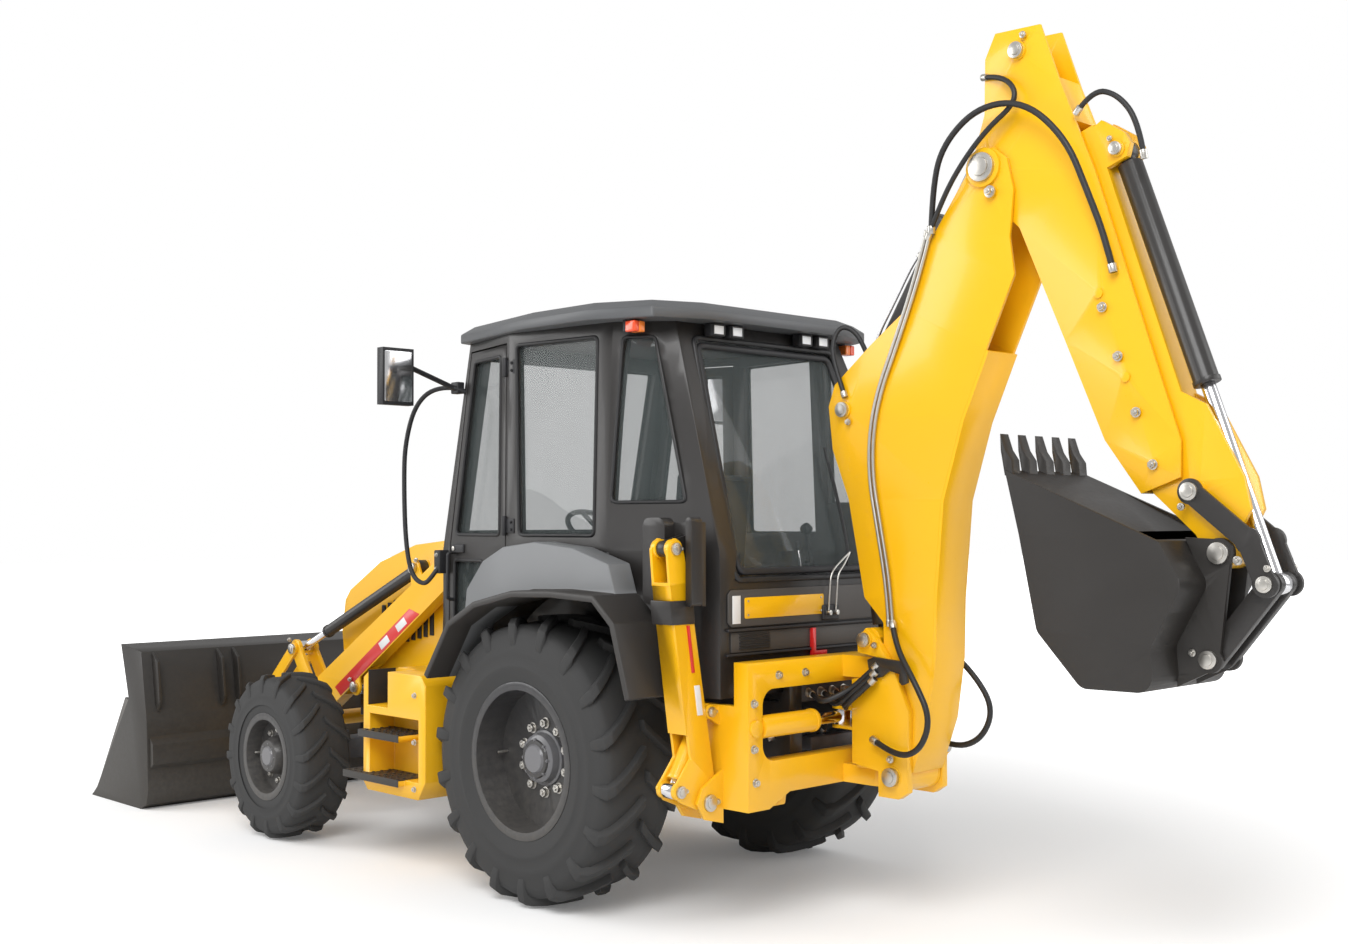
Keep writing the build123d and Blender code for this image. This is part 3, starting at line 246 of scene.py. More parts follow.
# ---------------------------------------------------------------- finishes
@dataclass(frozen=True)
class Finish:
    """Base of all finishes."""

    name: str

    def make(self) -> bpy.types.Material:
        """Builds the material, or gives the one that is there."""
        found = bpy.data.materials.get(self.name)
        return found if found else self.build(Recipe(self.name))

    def build(self, r: Recipe) -> bpy.types.Material:
        """Fills the recipe; each finish has its own."""
        raise NotImplementedError


@dataclass(frozen=True)
class Enamel(Finish):
    """Sprayed enamel with a faint orange peel, a little fading, and dust low down."""

    colour: Colour = (0.90, 0.475, 0.003)
    rough: float = 0.3
    dust: float = 0.12
    peel: float = 0.00035
    coat: float = 0.22

    def build(self, r: Recipe) -> bpy.types.Material:
        """Colour varies with slow noise; dust gathers towards the ground."""
        slow = r.noise(1.3, 3.0)
        fine = r.noise(38.0, 5.0, 0.6)
        faded = tuple(c * 0.93 + 0.005 for c in self.colour)
        worn = r.blend((slow * 0.55).unit(), self.colour, faded)
        low = (1.0 - r.axis("Z").ramp(0.05, 1.1)) * (fine * 1.4).unit() * self.dust
        base = r.blend(low.unit(), worn, (0.30, 0.27, 0.22))
        rough = fine * 0.12 + (self.rough - 0.06) + low
        height = r.noise(520.0, 2.0) * 0.6 + fine * 0.4
        return r.surface(Base_Color=base, Roughness=rough, Normal=r.bump(height, self.peel, 0.35),
                         Coat_Weight=self.coat, Coat_Roughness=0.12)


@dataclass(frozen=True)
class Casting(Finish):
    """Cast iron under thin paint: sandy skin, oily and dusty patches."""

    colour: Colour = (0.06, 0.06, 0.065)

    def build(self, r: Recipe) -> bpy.types.Material:
        """Grain from two noises, patches from a slow one."""
        grain = r.noise(170.0, 6.0, 0.7)
        patch = r.noise(5.0, 4.0).ramp(0.45, 0.7)
        base = r.blend(patch * 0.5, self.colour, tuple(c * 1.9 + 0.02 for c in self.colour))
        return r.surface(Base_Color=base, Roughness=grain * 0.25 + 0.45, Metallic=0.25,
                         Normal=r.bump(grain, 0.0012, 0.6))


@dataclass(frozen=True)
class Steel(Finish):
    """Bare or plated steel, drawn along one way."""

    colour: Colour = (0.62, 0.62, 0.64)
    rough: float = 0.2
    along: Point = (30.0, 30.0, 400.0)

    def build(self, r: Recipe) -> bpy.types.Material:
        """Fine lines along the rod, and a faint oil film."""
        lines = r.noise(1.0, 3.0, 0.5, self.along)
        film = r.noise(9.0, 3.0).ramp(0.4, 0.7)
        base = r.blend(film * 0.3, self.colour, tuple(c * 0.78 for c in self.colour))
        return r.surface(Base_Color=base, Metallic=1.0, Roughness=lines * 0.12 + self.rough - 0.05 + film * 0.06,
                         Normal=r.bump(lines, 0.0002, 0.2))


@dataclass(frozen=True)
class Rubber(Finish):
    """Tyre or hose rubber: near black, with a dusty bloom on what stands proud."""

    colour: Colour = (0.012, 0.012, 0.013)
    bloom: float = 0.22

    def build(self, r: Recipe) -> bpy.types.Material:
        """Bloom in patches, a moulded grain, faint rings of scuffing."""
        grain = r.noise(240.0, 4.0, 0.65)
        patch = r.noise(6.0, 5.0, 0.6).ramp(0.4, 0.75)
        base = r.blend(patch * self.bloom, self.colour, tuple(c * 2.2 + 0.012 for c in self.colour))
        return r.surface(Base_Color=base, Roughness=patch * 0.2 + grain * 0.1 + 0.40, Normal=r.bump(grain, 0.0006, 0.5))


@dataclass(frozen=True)
class Moulding(Finish):
    """Moulded plastic with a leathery grain."""

    colour: Colour = (0.03, 0.03, 0.032)
    rough: float = 0.5
    grain: float = 420.0

    def build(self, r: Recipe) -> bpy.types.Material:
        """Grain from small cells, a slow change of tone."""
        cell = r.cells(self.grain)
        slow = r.noise(2.2, 3.0)
        base = r.blend(slow * 0.6, self.colour, tuple(c * 1.25 + 0.004 for c in self.colour))
        return r.surface(Base_Color=base, Roughness=slow * 0.1 + self.rough, Normal=r.bump(cell, 0.0005, 0.35))


@dataclass(frozen=True)
class Fender(Moulding):
    """Moulding with a dark tail and a dark outer band, further out than edge."""

    edge: float = 0.961
    dark: Colour = (0.032, 0.029, 0.027)
    from_axle: float = 0.535

    def build(self, r: Recipe) -> bpy.types.Material:
        """Two tones parted by the distance from the middle plane."""
        cell = r.cells(self.grain)
        slow = r.noise(2.2, 3.0)
        side = r.node("ShaderNodeMath", {"operation": "ABSOLUTE"}, {0: r.axis("Y")})
        x, z = r.axis("X") + self.from_axle, r.axis("Z")
        inner = (side < self.edge) * (x > -0.63) * ((z > 1.41) + (x > 0.2)).unit()
        pale = r.blend(slow * 0.6, self.colour, tuple(c * 1.25 + 0.004 for c in self.colour))
        base = r.blend(inner, self.dark, pale)
        return r.surface(Base_Color=base, Roughness=slow * 0.1 + self.rough, Normal=r.bump(cell, 0.0005, 0.35))


@dataclass(frozen=True)
class Pane(Finish):
    """Tinted safety glass with faint streaks."""

    colour: Colour = (0.10, 0.12, 0.12)
    alpha: float = 0.24

    def build(self, r: Recipe) -> bpy.types.Material:
        """Streaks only roughen it."""
        streak = r.noise(3.0, 4.0, 0.5, (1.0, 1.0, 0.25)).ramp(0.5, 0.8)
        return r.surface(Base_Color=self.colour, Roughness=streak * 0.05 + 0.02, Alpha=streak * 0.05 + self.alpha,
                         Specular_IOR_Level=0.6)


@dataclass(frozen=True)
class Lens(Finish):
    """Ribbed lamp lens."""

    colour: Colour = (0.85, 0.08, 0.02)
    ribs: float = 260.0

    def build(self, r: Recipe) -> bpy.types.Material:
        """Ribs run upright."""
        wave = r.node("ShaderNodeTexWave", {"bands_direction": "Y"}, {"Vector": r.place, "Scale": self.ribs / 6.0})
        base = r.blend(wave * 0.35, self.colour, tuple(min(1.0, c * 1.2 + 0.05) for c in self.colour))
        return r.surface(Base_Color=base, Roughness=0.14, Coat_Weight=0.6, Normal=r.bump(wave, 0.0008, 0.5))


@dataclass(frozen=True)
class Cloth(Finish):
    """Woven seat cloth."""

    colour: Colour = (0.035, 0.036, 0.04)

    def build(self, r: Recipe) -> bpy.types.Material:
        """Two crossed sets of threads."""
        warp = r.node("ShaderNodeTexWave", {"bands_direction": "Y"}, {"Vector": r.place, "Scale": 90.0})
        weft = r.node("ShaderNodeTexWave", {"bands_direction": "Z"}, {"Vector": r.place, "Scale": 90.0})
        weave = warp * 0.5 + weft * 0.5
        base = r.blend(weave * 0.5, self.colour, tuple(c * 1.8 for c in self.colour))
        return r.surface(Base_Color=base, Roughness=0.9, Sheen_Weight=0.3, Normal=r.bump(weave, 0.0006, 0.5))


class Look(Enum):
    """Finishes by name."""

    YELLOW = Enamel("yellow_enamel")
    BLACK = Enamel("black_enamel", (0.020, 0.018, 0.017), 0.42, 0.10, 0.0003, 0.15)
    CHARCOAL = Enamel("charcoal_enamel", (0.016, 0.0135, 0.0115), 0.50, 0.12, 0.0005, 0.08)
    ROOF = Moulding("roof_moulding", (0.085, 0.088, 0.092), 0.42, 500.0)
    FENDER = Fender("fender_moulding", (0.16, 0.165, 0.17), 0.45, 500.0)
    TRIM = Moulding("trim_moulding", (0.016, 0.016, 0.018), 0.5)
    PANEL = Moulding("panel_moulding", (0.055, 0.050, 0.046), 0.5, 500.0)
    WORN = Steel("worn_steel", (0.22, 0.21, 0.20), 0.42, (60.0, 12.0, 60.0))
    CAST = Casting("cast_iron")
    WHEEL = Enamel("wheel_enamel", (0.022, 0.022, 0.025), 0.36, 0.25, 0.0003, 0.25)
    HUB = Enamel("hub_enamel", (0.14, 0.14, 0.15), 0.34, 0.15, 0.0003, 0.3)
    CHROME = Steel("chromed_rod", (0.78, 0.78, 0.80), 0.12)
    ZINC = Steel("zinc_plate", (0.60, 0.58, 0.54), 0.32)
    TYRE = Rubber("tyre_rubber")
    HOSE = Rubber("hose_rubber", (0.012, 0.012, 0.013), 0.15)
    GLASS = Pane("cab_pane")
    RED = Lens("red_lens")
    AMBER = Lens("amber_lens", (0.95, 0.22, 0.02))
    CLEAR = Lens("clear_lens", (0.82, 0.84, 0.86))
    SEAT = Cloth("seat_cloth")
    STRIPE = Enamel("stripe_red", (0.62, 0.012, 0.012), 0.32, 0.05, 0.0002, 0.4)
    WHITE = Enamel("label_white", (0.75, 0.75, 0.75), 0.4, 0.05, 0.0002, 0.1)

    def material(self) -> bpy.types.Material:
        """The finish's material."""
        return self.value.make()


def dress(obj: bpy.types.Object, look: Look) -> bpy.types.Object:
    """Gives obj one finish all over."""
    obj.data.materials.clear()
    obj.data.materials.append(look.material())
    return obj


def soften(obj: bpy.types.Object, width: float, segments: int = 2, angle: float = 32.0) -> bpy.types.Object:
    """Rounds the sharp edges of a solid and shades it smooth.

    Args:
        obj: a CAD node or a new piece.
        width: how wide each rounded edge is, in metres.
        segments: facets across it.
        angle: edges sharper than this many degrees are rounded.

    Returns:
        obj.
    """
    weld = obj.modifiers.new("weld", "WELD")
    weld.merge_threshold = SAME_POINT
    bevel = obj.modifiers.new("edges", "BEVEL")
    bevel.width, bevel.segments, bevel.limit_method = width, segments, "ANGLE"
    bevel.angle_limit = math.radians(angle)
    bevel.harden_normals = True
    obj.data.polygons.foreach_set("use_smooth", [True] * len(obj.data.polygons))
    return obj


# ---------------------------------------------------------------- stage
@dataclass
class Studio:
    """Pale floor, soft lamps and the camera."""

    eye: Point = (-6.121, 5.392, 1.756)
    heading: float = -43.69
    rise: float = 1.82
    roll: float = -0.17
    lens: float = 41.16
    shift_x: float = 0.0067
    sensor: float = 36.0
    reach: float = 200.0
    floor_size: float = 120.0
    below: float = 0.001
    aim: Point = (0.0, 0.0, 1.2)

    def camera(self) -> bpy.types.Object:
        """Sets the camera where it looks at the machine's left rear."""
        data = bpy.data.cameras.new("camera")
        data.lens, data.sensor_width, data.shift_x = self.lens, self.sensor, self.shift_x
        data.clip_end = self.reach
        cam = bpy.data.objects.new("camera", data)
        bpy.context.scene.collection.objects.link(cam)
        a, b = math.radians(self.heading), math.radians(self.rise)
        forward = Vector((math.cos(a) * math.cos(b), math.sin(a) * math.cos(b), math.sin(b)))
        turn = forward.to_track_quat("-Z", "Y").to_matrix().to_4x4()
        cam.matrix_world = Matrix.Translation(self.eye) @ turn @ Matrix.Rotation(math.radians(self.roll), 4, "Z")
        bpy.context.scene.camera = cam
        return cam

    def floor(self) -> bpy.types.Object:
        """Lays the floor, white to the camera and grey in the shade of the machine."""
        bpy.ops.mesh.primitive_plane_add(size=self.floor_size, location=(0, 0, -self.below))
        floor = bpy.context.object
        floor.name = "floor"
        r = Recipe("pale_floor")
        x, y = r.axis("X"), r.axis("Y")
        away = ((x * x + y * y) ** 0.5).ramp(3.0, 11.0)
        glow = r.node("ShaderNodeEmission", {}, {"Color": (1.0, 1.0, 1.0), "Strength": away * 0.95 + 0.10})
        matt = r.node("ShaderNodeBsdfDiffuse", {}, {"Color": (0.90, 0.90, 0.90)})
        seen = r.node("ShaderNodeLightPath", {}, {}, "Is Camera Ray")
        lit = r.node("ShaderNodeAddShader", {}, {0: matt, 1: glow})
        floor.data.materials.append(r.output(r.node("ShaderNodeMixShader", {}, {0: seen, 1: matt, 2: lit})))
        floor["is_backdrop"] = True
        return floor

    def lamps(self) -> None:
        """Hangs soft lamps and sets the world."""
        # columns: name, place, size, power in watts
        table = (("key", (-6.0, 7.5, 8.5), 6.0, 900.0), ("fill", (-9.0, -5.0, 5.0), 7.0, 330.0),
                 ("front", (6.5, 6.5, 5.0), 6.0, 380.0))
        for name, place, size, power in table:
            data = bpy.data.lights.new(name, "AREA")
            data.size, data.energy = size, power
            lamp = bpy.data.objects.new(name, data)
            bpy.context.scene.collection.objects.link(lamp)
            lamp.location = place
            lamp.rotation_euler = (Vector(self.aim) - Vector(place)).to_track_quat("-Z", "Y").to_euler()
        world = bpy.data.worlds.new("studio")
        bpy.context.scene.world = world
        world.use_nodes = True
        tree = world.node_tree
        back = tree.nodes["Background"]
        back.inputs[0].default_value = (1, 1, 1, 1)
        path = tree.nodes.new("ShaderNodeLightPath")
        maths = tree.nodes.new("ShaderNodeMath")
        maths.operation = "MULTIPLY_ADD"
        seen_more, all_round = 0.45, 0.55   # strength that only the camera sees, and what lights the machine
        maths.inputs[1].default_value, maths.inputs[2].default_value = seen_more, all_round
        tree.links.new(path.outputs["Is Camera Ray"], maths.inputs[0])
        tree.links.new(maths.outputs[0], back.inputs[1])

    def build(self) -> None:
        """Sets up everything that isn't the machine."""
        self.camera()
        self.floor()
        self.lamps()
        bpy.context.scene.view_settings.view_transform = "Standard"


# ---------------------------------------------------------------- the solids' finishes
# each finish: groups of (width of the rounded edges in metres, names of the solids)
SOLID_LOOKS: dict[Look, tuple[tuple[float, tuple[str, ...]], ...]] = {
    Look.YELLOW: ((0.004, ("rear_frame", "tanks", "loader_arms", "tilt_levers", "tilt_links", "swing_tower", "boom",
                           "dipper", "dipper_extension", "stabiliser_leg_left", "stabiliser_leg_right")),
                  (0.002, ("swing_barrels", "stabiliser_barrel_left", "stabiliser_barrel_right")), (0.02, ("hood",))),
    Look.BLACK: ((0.004, ("main_frame", "cab_frame", "door_left", "door_right", "stabiliser_pad_left",
                          "stabiliser_pad_right")),
                 (0.002, ("lift_barrels", "tilt_barrels", "boom_barrel", "dipper_barrel", "bucket_barrel",
                          "idler_links", "push_link"))),
    Look.CHARCOAL: ((0.004, ("loader_bucket", "hoe_bucket")),),
    Look.ROOF: ((0.018, ("cab_roof",)),),
    Look.FENDER: ((0.012, ("fenders",)),),
    Look.CAST: ((0.006, ("drive_train", "front_axle", "knuckle_left", "knuckle_right")),),
    Look.CHROME: ((0.001, ("lift_rods", "tilt_rods", "boom_rod", "dipper_rod", "bucket_rod", "swing_rod_left",
                           "swing_rod_right", "stabiliser_rod_left", "stabiliser_rod_right")),),
    Look.GLASS: ((0.0, ("cab_glass", "door_glass_left", "door_glass_right")),),
    Look.TYRE: ((0.006, ("tyre_rear_left", "tyre_rear_right", "tyre_front_left", "tyre_front_right")),),
    Look.WHEEL: ((0.003, ("rim_rear_left", "rim_rear_right", "rim_front_left", "rim_front_right")),),
    Look.SEAT: ((0.02, ("seat",)),),
    Look.TRIM: ((0.004, ("controls", "mirrors")),),
    Look.CLEAR: ((0.003, ("lamps",)),),
}


def finish_solids(nodes: dict[str, bpy.types.Object]) -> None:
    """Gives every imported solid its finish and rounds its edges.

    Args:
        nodes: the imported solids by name.
    """
    for look, groups in SOLID_LOOKS.items():
        for width, names in groups:
            for name in names:
                dress(nodes[name], look)
                if width:
                    soften(nodes[name], width)
                log.info("finished %s as %s", name, look.name)


# ---------------------------------------------------------------- bench
def deselect() -> None:
    """Leaves nothing selected."""
    if bpy.context.object and bpy.context.object.mode != "OBJECT":
        bpy.ops.object.mode_set(mode="OBJECT")
    bpy.ops.object.select_all(action="DESELECT")


def settle(name: str, look: Look | None = None) -> bpy.types.Object:
    """Names the object just made and puts its place into its mesh.

    Args:
        name: piece's name.
        look: finish, or none to leave it bare.

    Returns:
        The object.
    """
    obj = bpy.context.object
    obj.name = obj.data.name = name
    bpy.ops.object.transform_apply(location=True, rotation=True, scale=True)
    return dress(obj, look) if look else obj


def edit(obj: bpy.types.Object, pick: Callable[[bpy.types.MeshPolygon], bool] | None = None) -> None:
    """Opens obj in edit mode with the faces that pick says selected, or all of them.

    Args:
        obj: a mesh object.
        pick: test of a face, by its middle or normal.
    """
    deselect()
    obj.select_set(True)
    bpy.context.view_layer.objects.active = obj
    bpy.ops.object.mode_set(mode="EDIT")
    bpy.ops.mesh.select_mode(type="FACE")
    bpy.ops.mesh.select_all(action="SELECT" if pick is None else "DESELECT")
    if pick is not None:
        bpy.ops.object.mode_set(mode="OBJECT")
        for face in obj.data.polygons:
            face.select = pick(face)
        bpy.ops.object.mode_set(mode="EDIT")


def close() -> bpy.types.Object:
    """Leaves edit mode and gives the object."""
    bpy.ops.object.mode_set(mode="OBJECT")
    return bpy.context.object


def rounded(obj: bpy.types.Object, width: float, segments: int = 2, angle: float = 30.0) -> bpy.types.Object:
    """Rounds a new piece's sharp edges for good, and shades it by angle."""
    deselect()
    obj.select_set(True)
    bpy.context.view_layer.objects.active = obj
    if width:
        bevel = obj.modifiers.new("edges", "BEVEL")
        bevel.width, bevel.segments, bevel.limit_method = width, segments, "ANGLE"
        bevel.angle_limit = math.radians(angle)
        bpy.ops.object.modifier_apply(modifier=bevel.name)
    bpy.ops.object.shade_smooth_by_angle(angle=math.radians(38))
    return obj


def turned(direction: Sequence[float]) -> tuple[float, float, float]:
    """Euler angles that carry Z to a direction."""
    return tuple(Vector(direction).to_track_quat("Z", "Y").to_euler())


def shaft(name: str, a: Sequence[float], b: Sequence[float], radius: float, look: Look, sides: int = 28,
          edge: float = 0.002, collar: float = 0.0) -> bpy.types.Object:
    """Round bar from a to b, its ends inset and chamfered.

    Args:
        name: piece's name.
        a: first end.
        b: second end.
        radius: in metres.
        look: finish.
        sides: facets round it.
        edge: width of the rounded edges.
        collar: if above 0, each end face is inset by this and raised a little, as a pin's head is.

    Returns:
        The piece.
    """
    a, b = Vector(a), Vector(b)
    deselect()
    bpy.ops.mesh.primitive_cylinder_add(vertices=sides, radius=radius, depth=(b - a).length, location=(a + b) / 2,
                                        rotation=turned(b - a))
    obj = settle(name, look)
    if collar:
        axis = (b - a).normalized()
        for way in (axis, -axis):
            edit(obj, lambda f, w=way: f.normal.dot(w) > FACING)
            bpy.ops.mesh.inset(thickness=collar)
            bpy.ops.mesh.extrude_region_move(TRANSFORM_OT_translate={"value": tuple(way * collar * 0.5)})
            close()
    return rounded(obj, edge)


def slab(name: str, outline: Sequence[tuple[float, float]], low: float, high: float, look: Look, edge: float = 0.003,
         flat: str = "XZ") -> bpy.types.Object:
    """Plate of a given outline.

    Args:
        name: piece's name.
        outline: corners in the plane of flat.
        low: where it starts across the plane.
        high: where it ends.
        look: finish.
        edge: width of the rounded edges.
        flat: plane of the outline, XZ, YZ or XY.

    Returns:
        The piece.
    """
    deselect()
    bpy.ops.mesh.primitive_circle_add(vertices=len(outline), radius=1.0, fill_type="NGON")
    obj = settle(name, look)
    put = {"XZ": lambda u, v: (u, low, v), "YZ": lambda u, v: (low, u, v), "XY": lambda u, v: (u, v, low)}[flat]
    for vertex, (u, v) in zip(obj.data.vertices, outline):
        vertex.co = put(u, v)
    way = {"XZ": (0, high - low, 0), "YZ": (high - low, 0, 0), "XY": (0, 0, high - low)}[flat]
    edit(obj)
    bpy.ops.mesh.extrude_region_move(TRANSFORM_OT_translate={"value": way})
    bpy.ops.mesh.select_all(action="SELECT")
    bpy.ops.mesh.normals_make_consistent(inside=False)
    close()
    return rounded(obj, edge)


def brick(name: str, low: Sequence[float], high: Sequence[float], look: Look, edge: float = 0.004) -> bpy.types.Object:
    """Block between two corners with rounded edges."""
    deselect()
    bpy.ops.mesh.primitive_cube_add(size=1.0, location=[(p + q) / 2 for p, q in zip(low, high)])
    bpy.context.object.scale = [q - p for p, q in zip(low, high)]
    return rounded(settle(name, look), edge, 3)


def pipe(name: str, points: Sequence[Sequence[float]], radius: float, look: Look, fittings: float = 0.0,
         fine: int = 6) -> bpy.types.Object:
    """Round tube or hose along a smooth line through its points' frame.

    Args:
        name: piece's name.
        points: control points of its line.
        radius: in metres.
        look: finish.
        fittings: if above 0, length of the crimped fitting at each end.
        fine: facets in each run.

    Returns:
        The piece, a mesh.
    """
    curve = bpy.data.curves.new(name, "CURVE")
    curve.dimensions = "3D"
    spline = curve.splines.new("NURBS")
    spline.points.add(len(points) - 1)
    for knot, p in zip(spline.points, points):
        knot.co = (*p, 1.0)
    spline.order_u, spline.use_endpoint_u, spline.resolution_u = 3, True, fine
    curve.bevel_depth, curve.bevel_resolution, curve.use_fill_caps = radius, 3, True
    obj = bpy.data.objects.new(name, curve)
    bpy.context.scene.collection.objects.link(obj)
    deselect()
    obj.select_set(True)
    bpy.context.view_layer.objects.active = obj
    bpy.ops.object.convert(target="MESH")
    obj = dress(bpy.context.object, look)
    bpy.ops.object.shade_smooth_by_angle(angle=math.radians(50))
    if fittings:
        ends = [shaft(f"{name}_end", p, Vector(p) + (Vector(q) - Vector(p)).normalized() * fittings, radius * 1.35,
                      Look.ZINC, 14, 0.001) for p, q in ((points[0], points[1]), (points[-1], points[-2]))]
        obj = joined(name, [obj, *ends])
    return obj


def joined(name: str, pieces: Iterable[bpy.types.Object]) -> bpy.types.Object:
    """Joins pieces into one object; each keeps its own finish."""
    pieces = list(pieces)
    deselect()
    for p in pieces:
        p.select_set(True)
    bpy.context.view_layer.objects.active = pieces[0]
    if len(pieces) > 1:
        bpy.ops.object.join()
    obj = bpy.context.object
    obj.name = obj.data.name = name
    return obj


def copied(obj: bpy.types.Object, name: str, move: Matrix) -> bpy.types.Object:
    """Copy of obj with its own mesh, moved by a matrix; a mirrored one has its faces turned back."""
    new = obj.copy()
    new.data = obj.data.copy()
    new.data.transform(move)
    if move.determinant() < 0:
        new.data.flip_normals()
    new.name = new.data.name = name
    bpy.context.scene.collection.objects.link(new)
    return new


def mirrored(obj: bpy.types.Object, name: str) -> bpy.types.Object:
    """Copy of obj on the other side of the middle plane."""
    return copied(obj, name, Matrix.Scale(-1, 4, (0, 1, 0)))


def ring(obj: bpy.types.Object, centre: Sequence[float], count: int, axis: str = "Y") -> list[bpy.types.Object]:
    """obj and its copies spaced evenly round an axis through centre."""
    out = [obj]
    for i in range(1, count):
        turn = Matrix.Rotation(2 * math.pi * i / count, 4, axis)
        turn = Matrix.Translation(centre) @ turn @ Matrix.Translation(-Vector(centre))
        out.append(copied(obj, f"{obj.name}_{i}", turn))
    return out


@dataclass
class Assembly:
    """Base of the sub-assemblies: keeps count of the pieces that ride on a body."""

    made: list[str] = field(default_factory=list)

    def add(self, obj: bpy.types.Object, body: str, slot: str | None = None) -> bpy.types.Object:
        """Makes obj ride on a body.

        Args:
            obj: finished piece.
            body: name of the body that carries it.
            slot: material slot; not used.

        Returns:
            obj.
        """
        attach(obj, body)
        self.made.append(obj.name)
        log.info("%s rides on %s", obj.name, body)
        return obj

    def pair(self, obj: bpy.types.Object, body: str, slot: str | None = None) -> None:
        """Adds a left piece and its mirror image.

        Args:
            obj: left piece, whose name ends in _left.
            body: name of the body, where _left stands for the side if it has one.
            slot: material slot; not used.
        """
        other = mirrored(obj, obj.name.replace("_left", "_right"))
        self.add(obj, body, slot)
        self.add(other, body.replace("_left", "_right"), slot)

    def pin(self, name: str, at: Sequence[float], y: float, radius: float, body: str, flag: float = 0.0) -> None:
        """Plated pin heads on both sides, each with its keeper tab and bolt.

        Args:
            name: piece's name.
            at: point on the pin's line.
            y: outer face that it stands on, on the left.
            radius: pin head's radius.
            body: body that carries it.
            flag: angle of the keeper tab, in degrees.
        """
        x, z = at[0], at[-1]
        head = shaft(name, (x, y - HEAD_SINK, z), (x, y + HEAD_RISE, z), radius, Look.ZINC, 28, 0.002, radius * 0.35)
        a = math.radians(flag)
        u = Vector((math.cos(a), 0, math.sin(a)))
        tab_end = Vector((x, y + 0.004, z)) + u * radius * 1.9
        tab = shaft(f"{name}_tab", tab_end - Vector((0, 0.006, 0)), tab_end + Vector((0, 0.004, 0)), radius * 0.42,
                    Look.ZINC, 16, 0.001)
        bolt = nut(f"{name}_bolt", tab_end + Vector((0, 0.004, 0)), (0, 1, 0), radius * 0.28)
        self.pair(joined(f"{name}_left", [head, tab, bolt]), body, "chrome_rod")


def lathe(name: str, profile: Sequence[tuple[float, float]], centre: Sequence[float], look: Look, steps: int = 48,
          smooth: float = 32.0) -> bpy.types.Object:
    """Turned piece about a line along Y.

    Args:
        name: piece's name.
        profile: closed outline as (distance along Y from centre, radius).
        centre: point on the axis.
        look: finish.
        steps: facets round it.
        smooth: edges flatter than this many degrees are shaded smooth.

    Returns:
        The piece.
    """
    deselect()
    bpy.ops.mesh.primitive_circle_add(vertices=len(profile), radius=1.0)
    obj = settle(name, look)
    x, y, z = centre
    for vertex, (along, radius) in zip(obj.data.vertices, profile):
        vertex.co = (x, y + along, z + radius)
    edit(obj)
    bpy.ops.mesh.select_mode(type="VERT")
    bpy.ops.mesh.select_all(action="SELECT")
    bpy.ops.mesh.spin(steps=steps, angle=2 * math.pi, center=centre, axis=(0, 1, 0))
    bpy.ops.mesh.select_all(action="SELECT")
    bpy.ops.mesh.remove_doubles(threshold=0.0001)
    bpy.ops.mesh.normals_make_consistent(inside=False)
    close()
    bpy.ops.object.shade_smooth_by_angle(angle=math.radians(smooth))
    return obj


def nut(name: str, at: Sequence[float], axis: Sequence[float], size: float, look: Look = Look.ZINC) -> bpy.types.Object:
    """Hexagon nut on its washer with the stud's end standing out.

    Args:
        name: piece's name.
        at: point of the face that it is screwed down on.
        axis: direction that it stands out.
        size: half its width over the corners.
        look: finish.

    Returns:
        The piece.
    """
    at, axis = Vector(at), Vector(axis).normalized()
    washer = shaft(f"{name}_washer", at - axis * 0.002, at + axis * size * 0.18, size * 1.25, look, 20, 0.0008)
    deselect()
    bpy.ops.mesh.primitive_cylinder_add(vertices=6, radius=size, depth=size * 0.9, location=at + axis * size * 0.6,
                                        rotation=turned(axis))
    settle(name, look)
    edit(bpy.context.object, lambda f: f.normal.dot(axis) > FACING)
    bpy.ops.mesh.inset(thickness=size * 0.45)
    bpy.ops.mesh.extrude_region_move(TRANSFORM_OT_translate={"value": tuple(axis * size * 0.35)})
    close()
    return joined(name, [rounded(bpy.context.object, size * 0.06, 1), washer])


